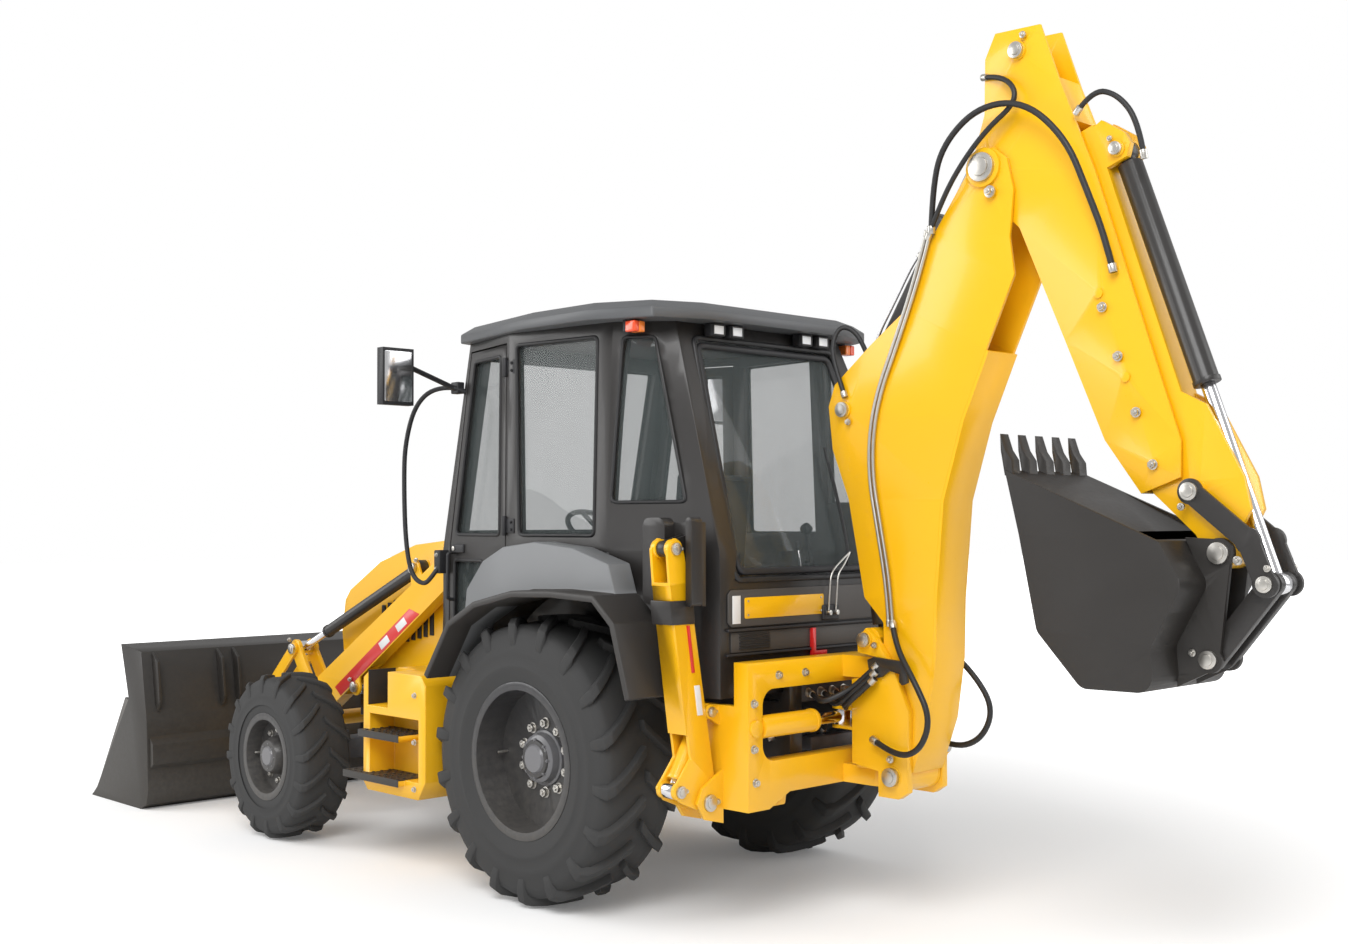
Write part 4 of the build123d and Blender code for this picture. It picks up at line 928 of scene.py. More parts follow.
# ---------------------------------------------------------------- wheels
@dataclass
class Wheel(Assembly):
    """One pair of wheels: treads, sidewalls, hub covers and nuts.

    The lugs lie in a chevron whose middle leads at the top.
    """

    end: str = "rear"
    radius: float = 0.660
    half: float = 0.220
    bead: float = 0.335
    lip: float = 0.190
    lugs: int = 18
    lug: tuple[float, float] = (0.034, 0.052)
    disc: float = 0.040
    nuts: tuple[int, float, float] = (10, 0.160, 0.021)
    cover: float = 0.118

    def lug_mesh(self, centre: Vector) -> bpy.types.Object:
        """Every lug of the left tyre, as one mesh."""
        r, w, (high, wide) = self.radius, self.half, self.lug
        base = r - high - 0.012
        # columns: share of the half width, top radius, foot radius, half width of the top, of the foot
        rows = ((0.02, r, base, 0.40, 0.56), (0.30, r - 0.001, base, 0.40, 0.56), (0.58, r - 0.002, base, 0.42, 0.58),
                (0.84, r - 0.008, base - 0.010, 0.46, 0.62), (0.975, r - 0.030, base - 0.030, 0.50, 0.64),
                (1.0, r - 0.075, base - 0.070, 0.46, 0.56), (0.985, r - 0.125, base - 0.110, 0.36, 0.44))
        verts: list[tuple[float, float, float]] = []
        faces: list[tuple[int, ...]] = []
        for i in range(self.lugs):
            for side in (1, -1):
                start = 2 * math.pi * (i + (0.5 if side > 0 else 0.0)) / self.lugs
                first = len(verts)
                for k, (share, top, foot, a, b) in enumerate(rows):
                    lead = min(share, 0.975)
                    angle = start + (0.5 - lead) * w * math.tan(math.radians(40)) / r * (1.12 - 0.24 * lead)
                    for rr, half, deep in ((top, a, 0.0), (foot, b, 0.018)):
                        y = side * (w * share - (deep if k > 3 else 0.0))
                        for s in (-1, 1):
                            t = angle + s * half * wide / rr
                            verts.append((centre.x + rr * math.sin(t), centre.y + y, centre.z + rr * math.cos(t)))
                for k in range(len(rows) - 1):
                    p, q = first + 4 * k, first + 4 * k + 4
                    for a, b in ((0, 1), (1, 3), (3, 2), (2, 0)):
                        faces.append((p + a, p + b, q + b, q + a) if side > 0 else (p + b, p + a, q + a, q + b))
                last = first + 4 * (len(rows) - 1)
                ends = ((first + 2, first + 3, first + 1, first), (last, last + 1, last + 3, last + 2))
                faces.extend(e if side > 0 else tuple(reversed(e)) for e in ends)
        mesh = bpy.data.meshes.new(f"lugs_{self.end}")
        mesh.from_pydata(verts, [], faces)
        obj = bpy.data.objects.new(mesh.name, mesh)
        bpy.context.scene.collection.objects.link(obj)
        edit(obj)
        bpy.ops.mesh.normals_make_consistent(inside=False)
        close()
        return rounded(dress(obj, Look.TYRE), 0.005, 2)

    def carcass(self, centre: Vector) -> bpy.types.Object:
        """Body of the left tyre with its moulded rings."""
        r, w, b, h = self.radius - self.lug[0], self.half, self.bead, self.lip
        out = [(h - 0.02, b - 0.004), (h, b), (h + 0.004, b + 0.02), (h + 0.010, b + 0.034), (w * 0.95, b + 0.075),
               (w * 0.985, b + (r - b) * 0.32), (w * 0.985, b + (r - b) * 0.36), (w * 0.975, b + (r - b) * 0.375),
               (w * 0.985, b + (r - b) * 0.52), (w * 0.995, b + (r - b) * 0.60), (w * 0.97, b + (r - b) * 0.64),
               (w * 0.955, b + (r - b) * 0.80), (w * 0.90, b + (r - b) * 0.92), (w * 0.78, r - 0.006), (w * 0.4, r)]
        profile = out + [(-y, q) for y, q in reversed(out)]
        return lathe(f"carcass_{self.end}", profile, centre, Look.TYRE, 96, 60.0)

    def hub(self, centre: Vector) -> bpy.types.Object:
        """Cover and nuts of the left hub."""
        d, c = self.disc, self.cover
        face = centre + Vector((0, d, 0))
        profile = [(0.0, 0.0), (0.0, c + 0.012), (0.012, c + 0.010), (0.016, c), (0.050, c * 0.93), (0.060, c * 0.80),
                   (0.062, c * 0.62), (0.074, c * 0.56), (0.080, c * 0.50), (0.080, 0.0)]
        pieces = [lathe(f"hub_{self.end}", profile, face, Look.HUB, 48)]
        count, circle, size = self.nuts
        pieces += ring(nut(f"nut_{self.end}", face + Vector((0, 0, circle)), (0, 1, 0), size), face, count)
        pieces += ring(nut(f"cap_screw_{self.end}", face + Vector((0, 0.060, c * 0.72)), (0, 1, 0), 0.009, Look.HUB),
                       face, 8)
        valve = self.bead - 0.045
        pieces.append(shaft(f"valve_{self.end}", face + Vector((valve, 0.0, 0)), face + Vector((valve + 0.01, 0.05, 0)),
                            0.006, Look.ZINC, 10, 0.001))
        return joined(f"hub_{self.end}_left", pieces)

    def build(self) -> None:
        """Makes both wheels of the axle."""
        low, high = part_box(f"tyre_{self.end}_left")
        centre = (low + high) / 2
        tyre = joined(f"tread_{self.end}_left", [self.lug_mesh(centre), self.carcass(centre)])
        right = mirrored(tyre, f"tread_{self.end}_right")
        for obj, side in ((tyre, "left"), (right, "right")):
            self.add(obj, f"wheel_{self.end}_{side}", "tyre_rubber")
            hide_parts(f"tyre_{self.end}_{side}")
        self.pair(self.hub(centre), f"wheel_{self.end}_left", "cast_grey")


# ---------------------------------------------------------------- backhoe
@dataclass
class Backhoe(Assembly):
    """Pins, pipes, hoses and bolts of the digging arm."""

    joints: list[dict] = field(default_factory=list)
    lean: float = 18.4
    boom_face: float = 0.105
    dipper_face: float = 0.084

    def joint(self, name: str) -> Vector:
        """Place of a joint's pin."""
        return Vector(next(j["pos_m"] for j in self.joints if j["name"] == name))

    def on_dipper(self, along: float, out: float, y: float) -> Vector:
        """Point by its distance down the dipper and out from its pivot's line."""
        a, p = math.radians(self.lean), self.joint("dipper")
        s, c = math.sin(a), math.cos(a)
        return Vector((p.x - s * along - c * out, y, p.z - c * along + s * out))

    def pins(self) -> None:
        """All pins of the arm."""
        b, d = self.boom_face, self.dipper_face
        # columns: name, point on its line, face that it stands on, head's radius, body, keeper's angle
        table = (("foot_pin", self.joint("boom"), b + 0.0475, 0.040, "swing_tower", 90),
                 ("boom_ram_pin", self.joint("boom_barrel"), b + 0.0475, 0.032, "swing_tower", 200),
                 ("hump_pin", self.joint("dipper_barrel"), b + 0.012, 0.034, "boom", 240),
                 ("dipper_pin", self.joint("dipper"), b + 0.016, 0.060, "boom", 250),
                 ("dipper_ram_pin", self.on_dipper(-0.382, 0.289, 0), d + 0.012, 0.034, "dipper", 120),
                 ("bucket_ram_pin", self.joint("bucket_barrel"), 0.074, 0.026, "dipper_extension", 60),
                 ("idler_pin", self.joint("idler_links"), 0.104, 0.034, "idler_links", 300),
                 ("push_pin", self.joint("push_link"), 0.104, 0.030, "idler_links", 100),
                 ("bucket_pin", self.joint("hoe_bucket"), 0.0845, 0.040, "hoe_bucket", 200),
                 ("link_pin", self.on_dipper(2.149, 0.269, 0), 0.0845, 0.034, "hoe_bucket", 20))
        for row in table:
            self.pin(*row)

    def bolts(self) -> None:
        """Wear pad bolts of the slide."""
        face = self.dipper_face + 0.010
        screws = [nut(f"pad_bolt_{int(along * 100)}", self.on_dipper(along, 0.30, face), (0, 1, 0), 0.016)
                  for along in (0.76, 0.965, 1.195, 1.405)]
        self.pair(joined("pad_bolts_left", screws), "dipper", "chrome_rod")

    def lines(self) -> None:
        """Steel pipes along the boom, and the hoses at its foot and knee."""
        y = self.boom_face
        line = ((-2.01, 1.30), (-2.00, 1.46), (-1.955, 1.70), (-1.90, 1.98), (-1.93, 2.26), (-2.06, 2.54),
                (-2.17, 2.80), (-2.23, 2.98))
        for k, shift in enumerate((0.0, 0.022)):
            run = [(x + shift, y + 0.014, z) for x, z in line]
            self.pair(pipe(f"boom_pipe_{k}_left", run, 0.008, Look.ZINC, 0.03), "boom", "chrome_rod")
        foot = [(-2.01, y + 0.016, 1.32), (-2.06, y + 0.06, 1.22), (-2.20, y + 0.11, 1.08), (-2.285, y + 0.12, 0.94),
                (-2.22, y + 0.11, 0.80), (-2.08, y + 0.09, 0.76), (-1.93, y + 0.06, 0.82)]
        self.hose("foot_hose", foot, 0.013, ("swing_tower", "boom"), both=True)
        top = [(-2.23, y + 0.016, 2.96), (-2.25, y + 0.03, 3.16), (-2.32, y + 0.05, 3.32), (-2.50, y + 0.06, 3.44),
               (-2.72, y + 0.06, 3.42), (-2.90, y + 0.05, 3.24), (-2.98, y + 0.03, 3.02), (-3.04, y + 0.01, 2.84),
               (-3.07, y + 0.0, 2.70)]
        self.hose("knee_hose", top, 0.013, ("boom", "dipper"), both=False)
        short = [(-2.21, y + 0.016, 2.94), (-2.28, y + 0.03, 3.06), (-2.38, y + 0.04, 3.20), (-2.52, y + 0.04, 3.34),
                 (-2.68, y + 0.03, 3.44), (-2.60, y + 0.01, 3.56), (-2.47, y - 0.02, 3.58)]
        self.hose("ram_hose", short, 0.011, ("boom", "dipper"), both=False)
        ram = [(-1.755, 0.118, 2.30), (-1.715, 0.120, 2.40), (-1.665, 0.105, 2.53), (-1.690, 0.075, 2.63),
               (-1.755, 0.040, 2.60), (-1.800, 0.020, 2.500), (-1.815, 0.012, 2.455)]
        self.hose("hump_hose", ram, 0.011, ("boom", "dipper_barrel"), both=False)
        # along the dipper's cylinder, and across it
        up, side = Vector((-0.5394, 0.0, 0.8421)), Vector((0.8421, 0.0, 0.5394))
        start = Vector(self.joint("dipper_barrel")) + side * 0.075 + Vector((0, 0.012, 0))
        run = [start + up * 0.30 - side * 0.015, start + up * 0.33 + side * 0.004, start + up * 0.50, start + up * 0.70,
               start + up * 0.74 - side * 0.012]
        ports = [nut("port", start + up * k - side * 0.030, side, 0.018) for k in (0.20, 0.30, 0.74)]
        self.add(joined("dipper_ram_pipe", [pipe("ram_pipe", run, 0.008, Look.CHROME), *ports]), "dipper_barrel",
                 "chrome_rod")
        bucket = [(-2.91, 0.10, 3.34), (-2.99, 0.11, 3.42), (-3.10, 0.11, 3.38), (-3.18, 0.10, 3.26),
                  (-3.19, 0.08, 3.12)]
        self.add(pipe("bucket_ram_hose", bucket, 0.011, Look.HOSE, 0.035), "dipper")

    def hose(self, name: str, route: Sequence[Sequence[float]], radius: float, bodies: tuple[str, str],
             both: bool) -> None:
        """Hose across a joint, baked in place and carried by no body.

        Args:
            name: piece's name.
            route: control points of its line, from the second body to the first.
            radius: in metres.
            bodies: the two bodies of the joint that it crosses, the carrier first; not used.
            both: whether the right side has one too.
        """
        left = pipe(f"{name}_left", route, radius, Look.HOSE, radius * 2.6)
        pieces = [left] + ([mirrored(left, f"{name}_right")] if both else [])
        for obj in pieces:
            start, end = (route[-1], route[0]) if bodies[0] == "swing_tower" else (route[0], route[-1])
            side = -1 if obj.name.endswith("_right") else 1
            side * start[1]
            side * end[1]
            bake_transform(obj)
            self.made.append(obj.name)

    def build(self) -> None:
        """Makes all of it."""
        self.pins()
        self.bolts()
        self.lines()


# ---------------------------------------------------------------- places on the body
AXLE_X = -0.535
SILL, CANT = 1.620, 2.660
# corners of the cab's left side in plan, from the rear axle: at the sill, and at the cant rail
SIDE_LOW = ((0.990, 0.700), (0.300, 0.820), (-0.380, 0.790), (-1.010, 0.700))
SIDE_HIGH = ((0.770, 0.690), (0.280, 0.820), (-0.380, 0.745), (-0.600, 0.560))


def cab_side(x: float, z: float, out: float = 0.0) -> Point:
    """Point of the cab's left side.

    Args:
        x: distance ahead of the rear axle.
        z: height.
        out: how far it stands off the side.

    Returns:
        The point.
    """
    t = min(max((z - SILL) / (CANT - SILL), 0.0), 1.0)
    ring = [(a + (c - a) * t, b + (d - b) * t) for (a, b), (c, d) in zip(SIDE_LOW, SIDE_HIGH)]
    spans = list(zip(ring, ring[1:]))
    (x0, y0), (x1, y1) = next((s for s in spans if s[0][0] >= x >= s[1][0]), spans[0] if x > 0 else spans[-1])
    return (AXLE_X + x, y0 + (y1 - y0) * (x - x0) / (x1 - x0) + out, z)


def cab_end(y: float, z: float, out: float = 0.0, front: bool = False) -> Point:
    """Point of the cab's rear wall, or of its front one, standing off by out."""
    t = min(max((z - SILL) / (CANT - SILL), 0.0), 1.0)
    k = 0 if front else -1
    x = SIDE_LOW[k][0] + (SIDE_HIGH[k][0] - SIDE_LOW[k][0]) * t
    return (AXLE_X + x + (out if front else -out), y, z)


def seal(name: str, corners: Sequence[Point], radius: float, look: Look, corner: float = 0.05) -> bpy.types.Object:
    """Rubber bead round an opening.

    Args:
        name: piece's name.
        corners: the opening's corners in order.
        radius: bead's radius.
        look: finish.
        corner: length over which each corner bends.

    Returns:
        The piece.
    """
    points = []
    for i, c in enumerate(corners):
        here, last, after = Vector(c), Vector(corners[i - 1]), Vector(corners[(i + 1) % len(corners)])
        points += [here + (last - here).normalized() * corner, here, here + (after - here).normalized() * corner]
    return pipe(name, points + points[:1], radius, look)


# ---------------------------------------------------------------- cab
@dataclass
class Cab(Assembly):
    """Seals, handles, hinges, lamps, mirrors, wiper and what lies inside."""

    def seals(self) -> None:
        """Beads round every window."""
        side = ((0.215, 1.69), (0.235, 2.60), (-0.290, 2.60), (-0.300, 1.69))
        quarter = ((-0.400, 1.84), (-0.420, 2.59), (-0.540, 2.59), (-0.800, 1.84))
        upper = ((0.850, 1.69), (0.700, 2.56), (0.380, 2.56), (0.380, 1.69))
        lower = ((0.870, 1.13), (0.860, 1.56), (0.550, 1.562), (0.645, 1.405), (0.740, 1.13))
        for name, corners, body in (("side_seal_left", side, "chassis"), ("quarter_seal_left", quarter, "chassis"),
                                    ("door_seal_left", upper, "door_left"), ("door_low_seal_left", lower, "door_left")):
            self.pair(seal(name, [cab_side(x, z, -0.002) for x, z in corners], 0.009, Look.HOSE), body, "black_plastic")
        rear = ((0.61, 1.50), (-0.61, 1.50), (-0.48, 2.59), (0.48, 2.59))
        bead = seal("rear_seal", [cab_end(y, z, 0.001) for y, z in rear], 0.013, Look.HOSE, 0.08)
        inner = seal("rear_frame_bead", [cab_end(y * 0.945, z + (0.035 if z < 2 else -0.035), -0.012) for y, z in rear],
                     0.016, Look.TRIM, 0.08)
        self.add(joined("rear_seal", [bead, inner]), "chassis", "black_plastic")
        front = ((0.58, 1.70), (-0.58, 1.70), (-0.58, 2.59), (0.58, 2.59))
        self.add(seal("front_seal", [cab_end(y, z, 0.001, True) for y, z in front], 0.010, Look.HOSE, 0.06), "chassis",
                 "black_plastic")

    def doors(self) -> None:
        """Grab handles, latches and hinges."""
        low, high = cab_side(0.862, 1.36, 0.045), cab_side(0.855, 1.60, 0.045)
        grab = [pipe("grab", [cab_side(0.862, 1.36, 0.0), low, Vector(low) + Vector((0, 0, 0.03)),
                              Vector(high) - Vector((0, 0, 0.03)), high, cab_side(0.855, 1.60, 0.0)], 0.009, Look.TRIM)]
        p = cab_side(0.80, 1.62, 0.004)
        grab.append(brick("latch", (p[0] - 0.05, p[1] - 0.012, p[2] - 0.022), (p[0] + 0.05, p[1] + 0.014, p[2] + 0.022),
                          Look.TRIM, 0.006))
        grab.append(shaft("key", (p[0] + 0.03, p[1] + 0.012, p[2]), (p[0] + 0.03, p[1] + 0.019, p[2]), 0.011, Look.ZINC,
                          20, 0.001))
        self.pair(joined("door_handle_left", grab), "door_left", "black_plastic")
        leaves = []
        for z in (1.735, 2.50):
            q = cab_side(0.316, z, 0.008)
            leaves.append(shaft("knuckle", (q[0], q[1] + 0.002, z - 0.045), (q[0], q[1] + 0.002, z + 0.045), 0.012,
                                Look.TRIM, 20, 0.002, 0.004))
            leaves.append(brick("leaf", (q[0] - 0.07, q[1] - 0.012, z - 0.035), (q[0] - 0.005, q[1] - 0.002, z + 0.035),
                                Look.TRIM, 0.003))
            leaves += [nut("leaf_screw", (q[0] - 0.05, q[1] - 0.002, z + dz), (0, 1, 0), 0.007, Look.TRIM)
                       for dz in (-0.018, 0.018)]
        self.pair(joined("door_hinges_left", leaves), "chassis", "black_plastic")

    def lamps(self) -> None:
        """Work lamps under the roof's rear edge, and the signal lamps."""
        pieces = []
        for y in (0.242, 0.365):
            x, z = AXLE_X - 0.685, 2.628
            pieces.append(brick("housing", (x + 0.004, y - 0.044, z - 0.030), (x + 0.058, y + 0.044, z + 0.030),
                                Look.TRIM, 0.008))
            ring = [(x + 0.002, y + a * 0.036, z + b * 0.024) for a, b in ((-1, -1), (1, -1), (1, 1), (-1, 1))]
            pieces.append(seal("bezel", ring, 0.005, Look.TRIM, 0.012))
            pieces.append(slab("lens", [(y - 0.034, z - 0.022), (y + 0.034, z - 0.022), (y + 0.034, z + 0.022),
                                        (y - 0.034, z + 0.022)], x + 0.0005, x + 0.010, Look.CLEAR, 0.003, "YZ"))
        x0, x1 = AXLE_X - 0.55, AXLE_X - 0.47
        for (a, b), look in (((0.700, 0.736), Look.AMBER), ((0.736, 0.770), Look.RED)):
            pieces.append(brick("signal", (x0, a, 2.602), (x1 - 0.02, b, 2.652), look, 0.006))
        pieces.append(brick("signal_base", (x1 - 0.022, 0.704, 2.606), (x1, 0.766, 2.659), Look.TRIM, 0.004))
        for (a, b), look in (((0.560, 0.596), Look.CLEAR), ((0.596, 0.630), Look.AMBER)):
            pieces.append(brick("front_signal", (AXLE_X + 0.800, a, 2.602), (AXLE_X + 0.835, b, 2.655), look, 0.006))
        pieces.append(brick("front_base", (AXLE_X + 0.790, 0.562, 2.604), (AXLE_X + 0.802, 0.628, 2.659), Look.TRIM,
                            0.003))
        left = joined("lamp_set_left", pieces)
        right = mirrored(left, "lamp_set_right")
        both = joined("lamp_set", [left, right])
        self.add(both, "chassis", "lamp_lens")
        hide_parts("lamps")

    def mirrors(self) -> None:
        """Glass of the mirrors, and the bent tube that carries each."""
        x = AXLE_X + 0.780
        glass = slab("mirror_glass_left", [(1.045, 2.345), (1.195, 2.345), (1.200, 2.350), (1.200, 2.590),
                                           (1.195, 2.595), (1.045, 2.595), (1.040, 2.590), (1.040, 2.350)], x - 0.002,
                     x + 0.004, Look.CHROME, 0.001, "YZ")
        self.pair(glass, "chassis", "black_plastic")
        run = [(0.862, 0.722, 2.44), (0.93, 0.79, 2.45), (1.03, 0.85, 2.36), (1.09, 0.87, 2.16), (1.10, 0.87, 1.97),
               (1.10, 0.86, 1.66), (1.075, 0.84, 1.48), (1.01, 0.81, 1.43), (0.965, 0.79, 1.47), (0.945, 0.74, 1.55)]
        tube = pipe("mirror_tube_left", [(AXLE_X + a, b, c) for a, b, c in run], 0.012, Look.TRIM)
        foot = brick("tube_foot", (AXLE_X + 0.935, 0.700, 1.49), (AXLE_X + 0.985, 0.765, 1.61), Look.TRIM, 0.008)
        clip = brick("tube_clip", (AXLE_X + 0.820, 0.690, 2.41), (AXLE_X + 0.880, 0.735, 2.47), Look.TRIM, 0.006)
        screws = [nut("foot_screw", (AXLE_X + 0.96, 0.765, z), (0, 1, 0), 0.009) for z in (1.515, 1.585)]
        self.pair(joined("mirror_tube_left", [tube, foot, clip, *screws]), "chassis", "black_plastic")

    def wiper(self) -> None:
        """Rear wiper: spindle housing, two arms and the blade."""
        cover = brick("wiper", (AXLE_X - 1.035, -0.055, 1.305), (AXLE_X - 1.008, 0.055, 1.375), Look.TRIM, 0.008)
        arms = [pipe("arm", [cab_end(y, 1.34, 0.03), cab_end(y - 0.004, 1.43, 0.034), cab_end(y - 0.012, 1.515, 0.034),
                             cab_end(y - 0.07, 1.56, 0.03), cab_end(-0.135, 1.61, 0.022)], 0.0042, Look.ZINC)
                for y in (0.028, -0.022)]
        hubs = [shaft("hub", cab_end(y, 1.34, 0.02), cab_end(y, 1.34, 0.045), 0.012, Look.ZINC, 20, 0.002)
                for y in (0.028, -0.022)]
        blade = pipe("blade", [cab_end(-0.125, 1.545, 0.014), cab_end(-0.135, 1.62, 0.016),
                               cab_end(-0.165, 1.86, 0.016), cab_end(-0.19, 2.10, 0.014)], 0.006, Look.HOSE)
        spine = pipe("spine", [cab_end(-0.130, 1.58, 0.024), cab_end(-0.150, 1.74, 0.030),
                               cab_end(-0.183, 2.03, 0.022)], 0.0045, Look.TRIM)
        self.add(joined("wiper", [cover, *arms, *hubs, blade, spine]), "chassis", "chrome_rod")

    def rear_panel(self) -> None:
        """Panels under the rear window, the bare plate, the blank label and the red corner mark."""
        x = AXLE_X - 1.010
        upper = slab("rear_panel", [(-0.64, 1.300), (0.64, 1.300), (0.66, 1.320), (0.66, 1.440), (0.64, 1.460),
                                    (-0.64, 1.460), (-0.66, 1.440), (-0.66, 1.320)], x - 0.010, x - 0.001, Look.PANEL,
                     0.004, "YZ")
        ledges = [brick("ledge", (x - d, -0.67, z - 0.006), (x - 0.001, 0.67, z + 0.006), Look.TRIM, 0.004)
                  for z, d in ((1.288, 0.020), (1.182, 0.016))]
        lower = slab("low_panel", [(-0.64, 1.192), (0.64, 1.192), (0.64, 1.278), (-0.64, 1.278)], x - 0.006, x - 0.001,
                     Look.PANEL, 0.003, "YZ")
        slats = [brick("slat", (x - 0.014, y, z), (x - 0.004, y + 0.19, z + 0.005), Look.TRIM, 0.002)
                 for y in (0.40, -0.59) for z in (1.205, 1.217, 1.229, 1.241, 1.253, 1.265)]
        self.add(joined("rear_panel", [upper, lower, *ledges, *slats]), "chassis", "black_plastic")
        plate = slab("bare_plate", [(0.045, 1.335), (0.555, 1.335), (0.560, 1.340), (0.560, 1.420), (0.555, 1.425),
                                    (0.045, 1.425), (0.040, 1.420), (0.040, 1.340)], x - 0.013, x - 0.009, Look.YELLOW,
                     0.001, "YZ")
        rivets = [shaft("rivet", (x - 0.012, y, z), (x - 0.016, y, z), 0.005, Look.ZINC, 16, 0.001)
                  for y in (0.06, 0.54) for z in (1.35, 1.41)]
        self.add(joined("bare_plate", [plate, *rivets]), "chassis", "yellow_paint")
        label = slab("blank_label", [(0.585, 1.315), (0.635, 1.315), (0.635, 1.435), (0.585, 1.435)], x - 0.0115,
                     x - 0.009, Look.WHITE, 0.0008, "YZ")
        self.add(label, "chassis", "lamp_lens")
        mark = slab("corner_mark", [(0.03, 1.150), (0.13, 1.150), (0.13, 1.275), (0.105, 1.275), (0.105, 1.172),
                                    (0.03, 1.172)], x - 0.022, x - 0.006, Look.STRIPE, 0.001, "YZ")
        self.add(mark, "chassis", "lamp_lens")

    def seat(self) -> None:
        """Padded seat with its headrest and armrests."""
        x = AXLE_X
        base = cushion("seat_base_pad", (x - 0.02, 0, 1.395), (0.245, 0.235, 0.062), 0.0)
        back = cushion("seat_back_pad", (x - 0.262, 0, 1.690), (0.062, 0.225, 0.295), -7.5)
        for obj in (base, back):
            self.add(obj, "chassis", "seat_fabric")
            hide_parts("seat")
        rests = []
        for y in (-0.262, 0.262):
            rests.append(brick("armrest", (x - 0.22, y - 0.030, 1.565), (x + 0.10, y + 0.030, 1.605), Look.TRIM, 0.016))
            rests.append(shaft("armrest_post", (x - 0.20, y, 1.40), (x - 0.20, y, 1.57), 0.014, Look.TRIM, 20, 0.003))
        shell = slab("seat_shell", [(x - 0.300, 1.36), (x - 0.270, 1.36), (x - 0.322, 1.955), (x - 0.352, 1.955)],
                     -0.19, 0.19, Look.TRIM, 0.010)
        bellows = [brick("bellows", (x - 0.19 + d, -0.17 + d, z), (x + 0.17 - d, 0.17 - d, z + 0.032), Look.HOSE, 0.010)
                   for z, d in ((1.075, 0.0), (1.108, 0.014), (1.141, 0.0), (1.174, 0.014), (1.207, 0.0),
                                (1.240, 0.014), (1.273, 0.0))]
        pan = brick("seat_pan", (x - 0.24, -0.21, 1.305), (x + 0.22, 0.21, 1.345), Look.TRIM, 0.012)
        self.add(joined("seat_frame", [pan, shell, *rests, *bellows]), "chassis", "black_plastic")

    def inside(self) -> None:
        """Dash, gaiters and knobs of the controls."""
        x = AXLE_X
        pieces = []
        for y in (-0.33, 0.33):
            for k in range(5):
                pieces.append(shaft("gaiter", (x - 0.640 + 0.008 * k, y, 1.478 + 0.018 * k),
                                    (x - 0.637 + 0.008 * k, y, 1.494 + 0.018 * k), 0.050 - 0.008 * k, Look.HOSE, 28,
                                    0.004))
            pieces.append(lathe("knob", [(-0.030, 0.0), (-0.026, 0.018), (0.0, 0.031), (0.024, 0.020), (0.030, 0.0)],
                                (x - 0.598, y, 1.715), Look.TRIM, 24))
            for dy in (-0.035, 0.035):
                pieces.append(shaft("lever", (x - 0.60, y + dy, 1.475), (x - 0.575, y + dy, 1.62), 0.006, Look.CHROME,
                                    14, 0.001))
                pieces.append(shaft("lever_top", (x - 0.576, y + dy, 1.61), (x - 0.570, y + dy, 1.655), 0.014,
                                    Look.TRIM, 20, 0.006))
        dash = slab("dash", [(x + 0.640, 1.605), (x + 0.765, 1.563), (x + 0.765, 1.600), (x + 0.700, 1.655),
                             (x + 0.655, 1.650)], -0.20, 0.20, Look.PANEL, 0.010)
        dials = [shaft("dial", (x + 0.652, y, 1.628), (x + 0.640, y, 1.632), 0.030, Look.CLEAR, 28, 0.003, 0.004)
                 for y in (-0.09, 0.0, 0.09)]
        self.add(joined("cab_controls", [*pieces, dash, *dials]), "chassis", "black_plastic")

    def build(self) -> None:
        """Makes all of it."""
        steps = (self.seals, self.doors, self.lamps, self.mirrors, self.wiper, self.rear_panel, self.seat, self.inside)
        for step in steps:
            step()


def cushion(name: str, centre: Point, half: Point, lean: float) -> bpy.types.Object:
    """Crowned pad whose edges draw in between its corners, with a sewn seam and two channels.

    Args:
        name: piece's name.
        centre: its middle.
        half: half its size along X, Y and Z.
        lean: turn about Y, in degrees.

    Returns:
        The piece.
    """
    deselect()
    bpy.ops.mesh.primitive_cube_add(size=2.0, location=(0, 0, 0))
    obj = settle(name, Look.SEAT)
    edit(obj)
    bpy.ops.mesh.subdivide(number_cuts=15)
    close()
    thin = min(range(3), key=lambda i: half[i])
    wide = [i for i in range(3) if i != thin]
    for vertex in obj.data.vertices:
        u, v, w = vertex.co[wide[0]], vertex.co[wide[1]], vertex.co[thin]
        crown = (1 - u ** 4) * (1 - v ** 4)
        groove = sum(math.exp(-((v - c) / 0.05) ** 2) for c in (-0.45, 0.45)) * 0.16
        vertex.co[thin] = w * (0.62 + 0.38 * crown - groove * crown)
        draw = 1.0 - 0.05 * (1 - abs(w)) - 0.03 * (1 - min(abs(u), abs(v)) ** 2)
        vertex.co[wide[0]] = u * draw
        vertex.co[wide[1]] = v * draw
    turn = Matrix.Rotation(math.radians(lean), 4, "Y")
    obj.data.transform(Matrix.Translation(centre) @ turn @ Matrix.Diagonal((*half, 1.0)))
    obj = rounded(obj, 0.0)
    bpy.ops.object.modifier_add(type="SUBSURF")
    obj.modifiers[-1].levels = obj.modifiers[-1].render_levels = 1
    bpy.ops.object.modifier_apply(modifier=obj.modifiers[-1].name)
    obj.data.polygons.foreach_set("use_smooth", [True] * len(obj.data.polygons))
    return obj


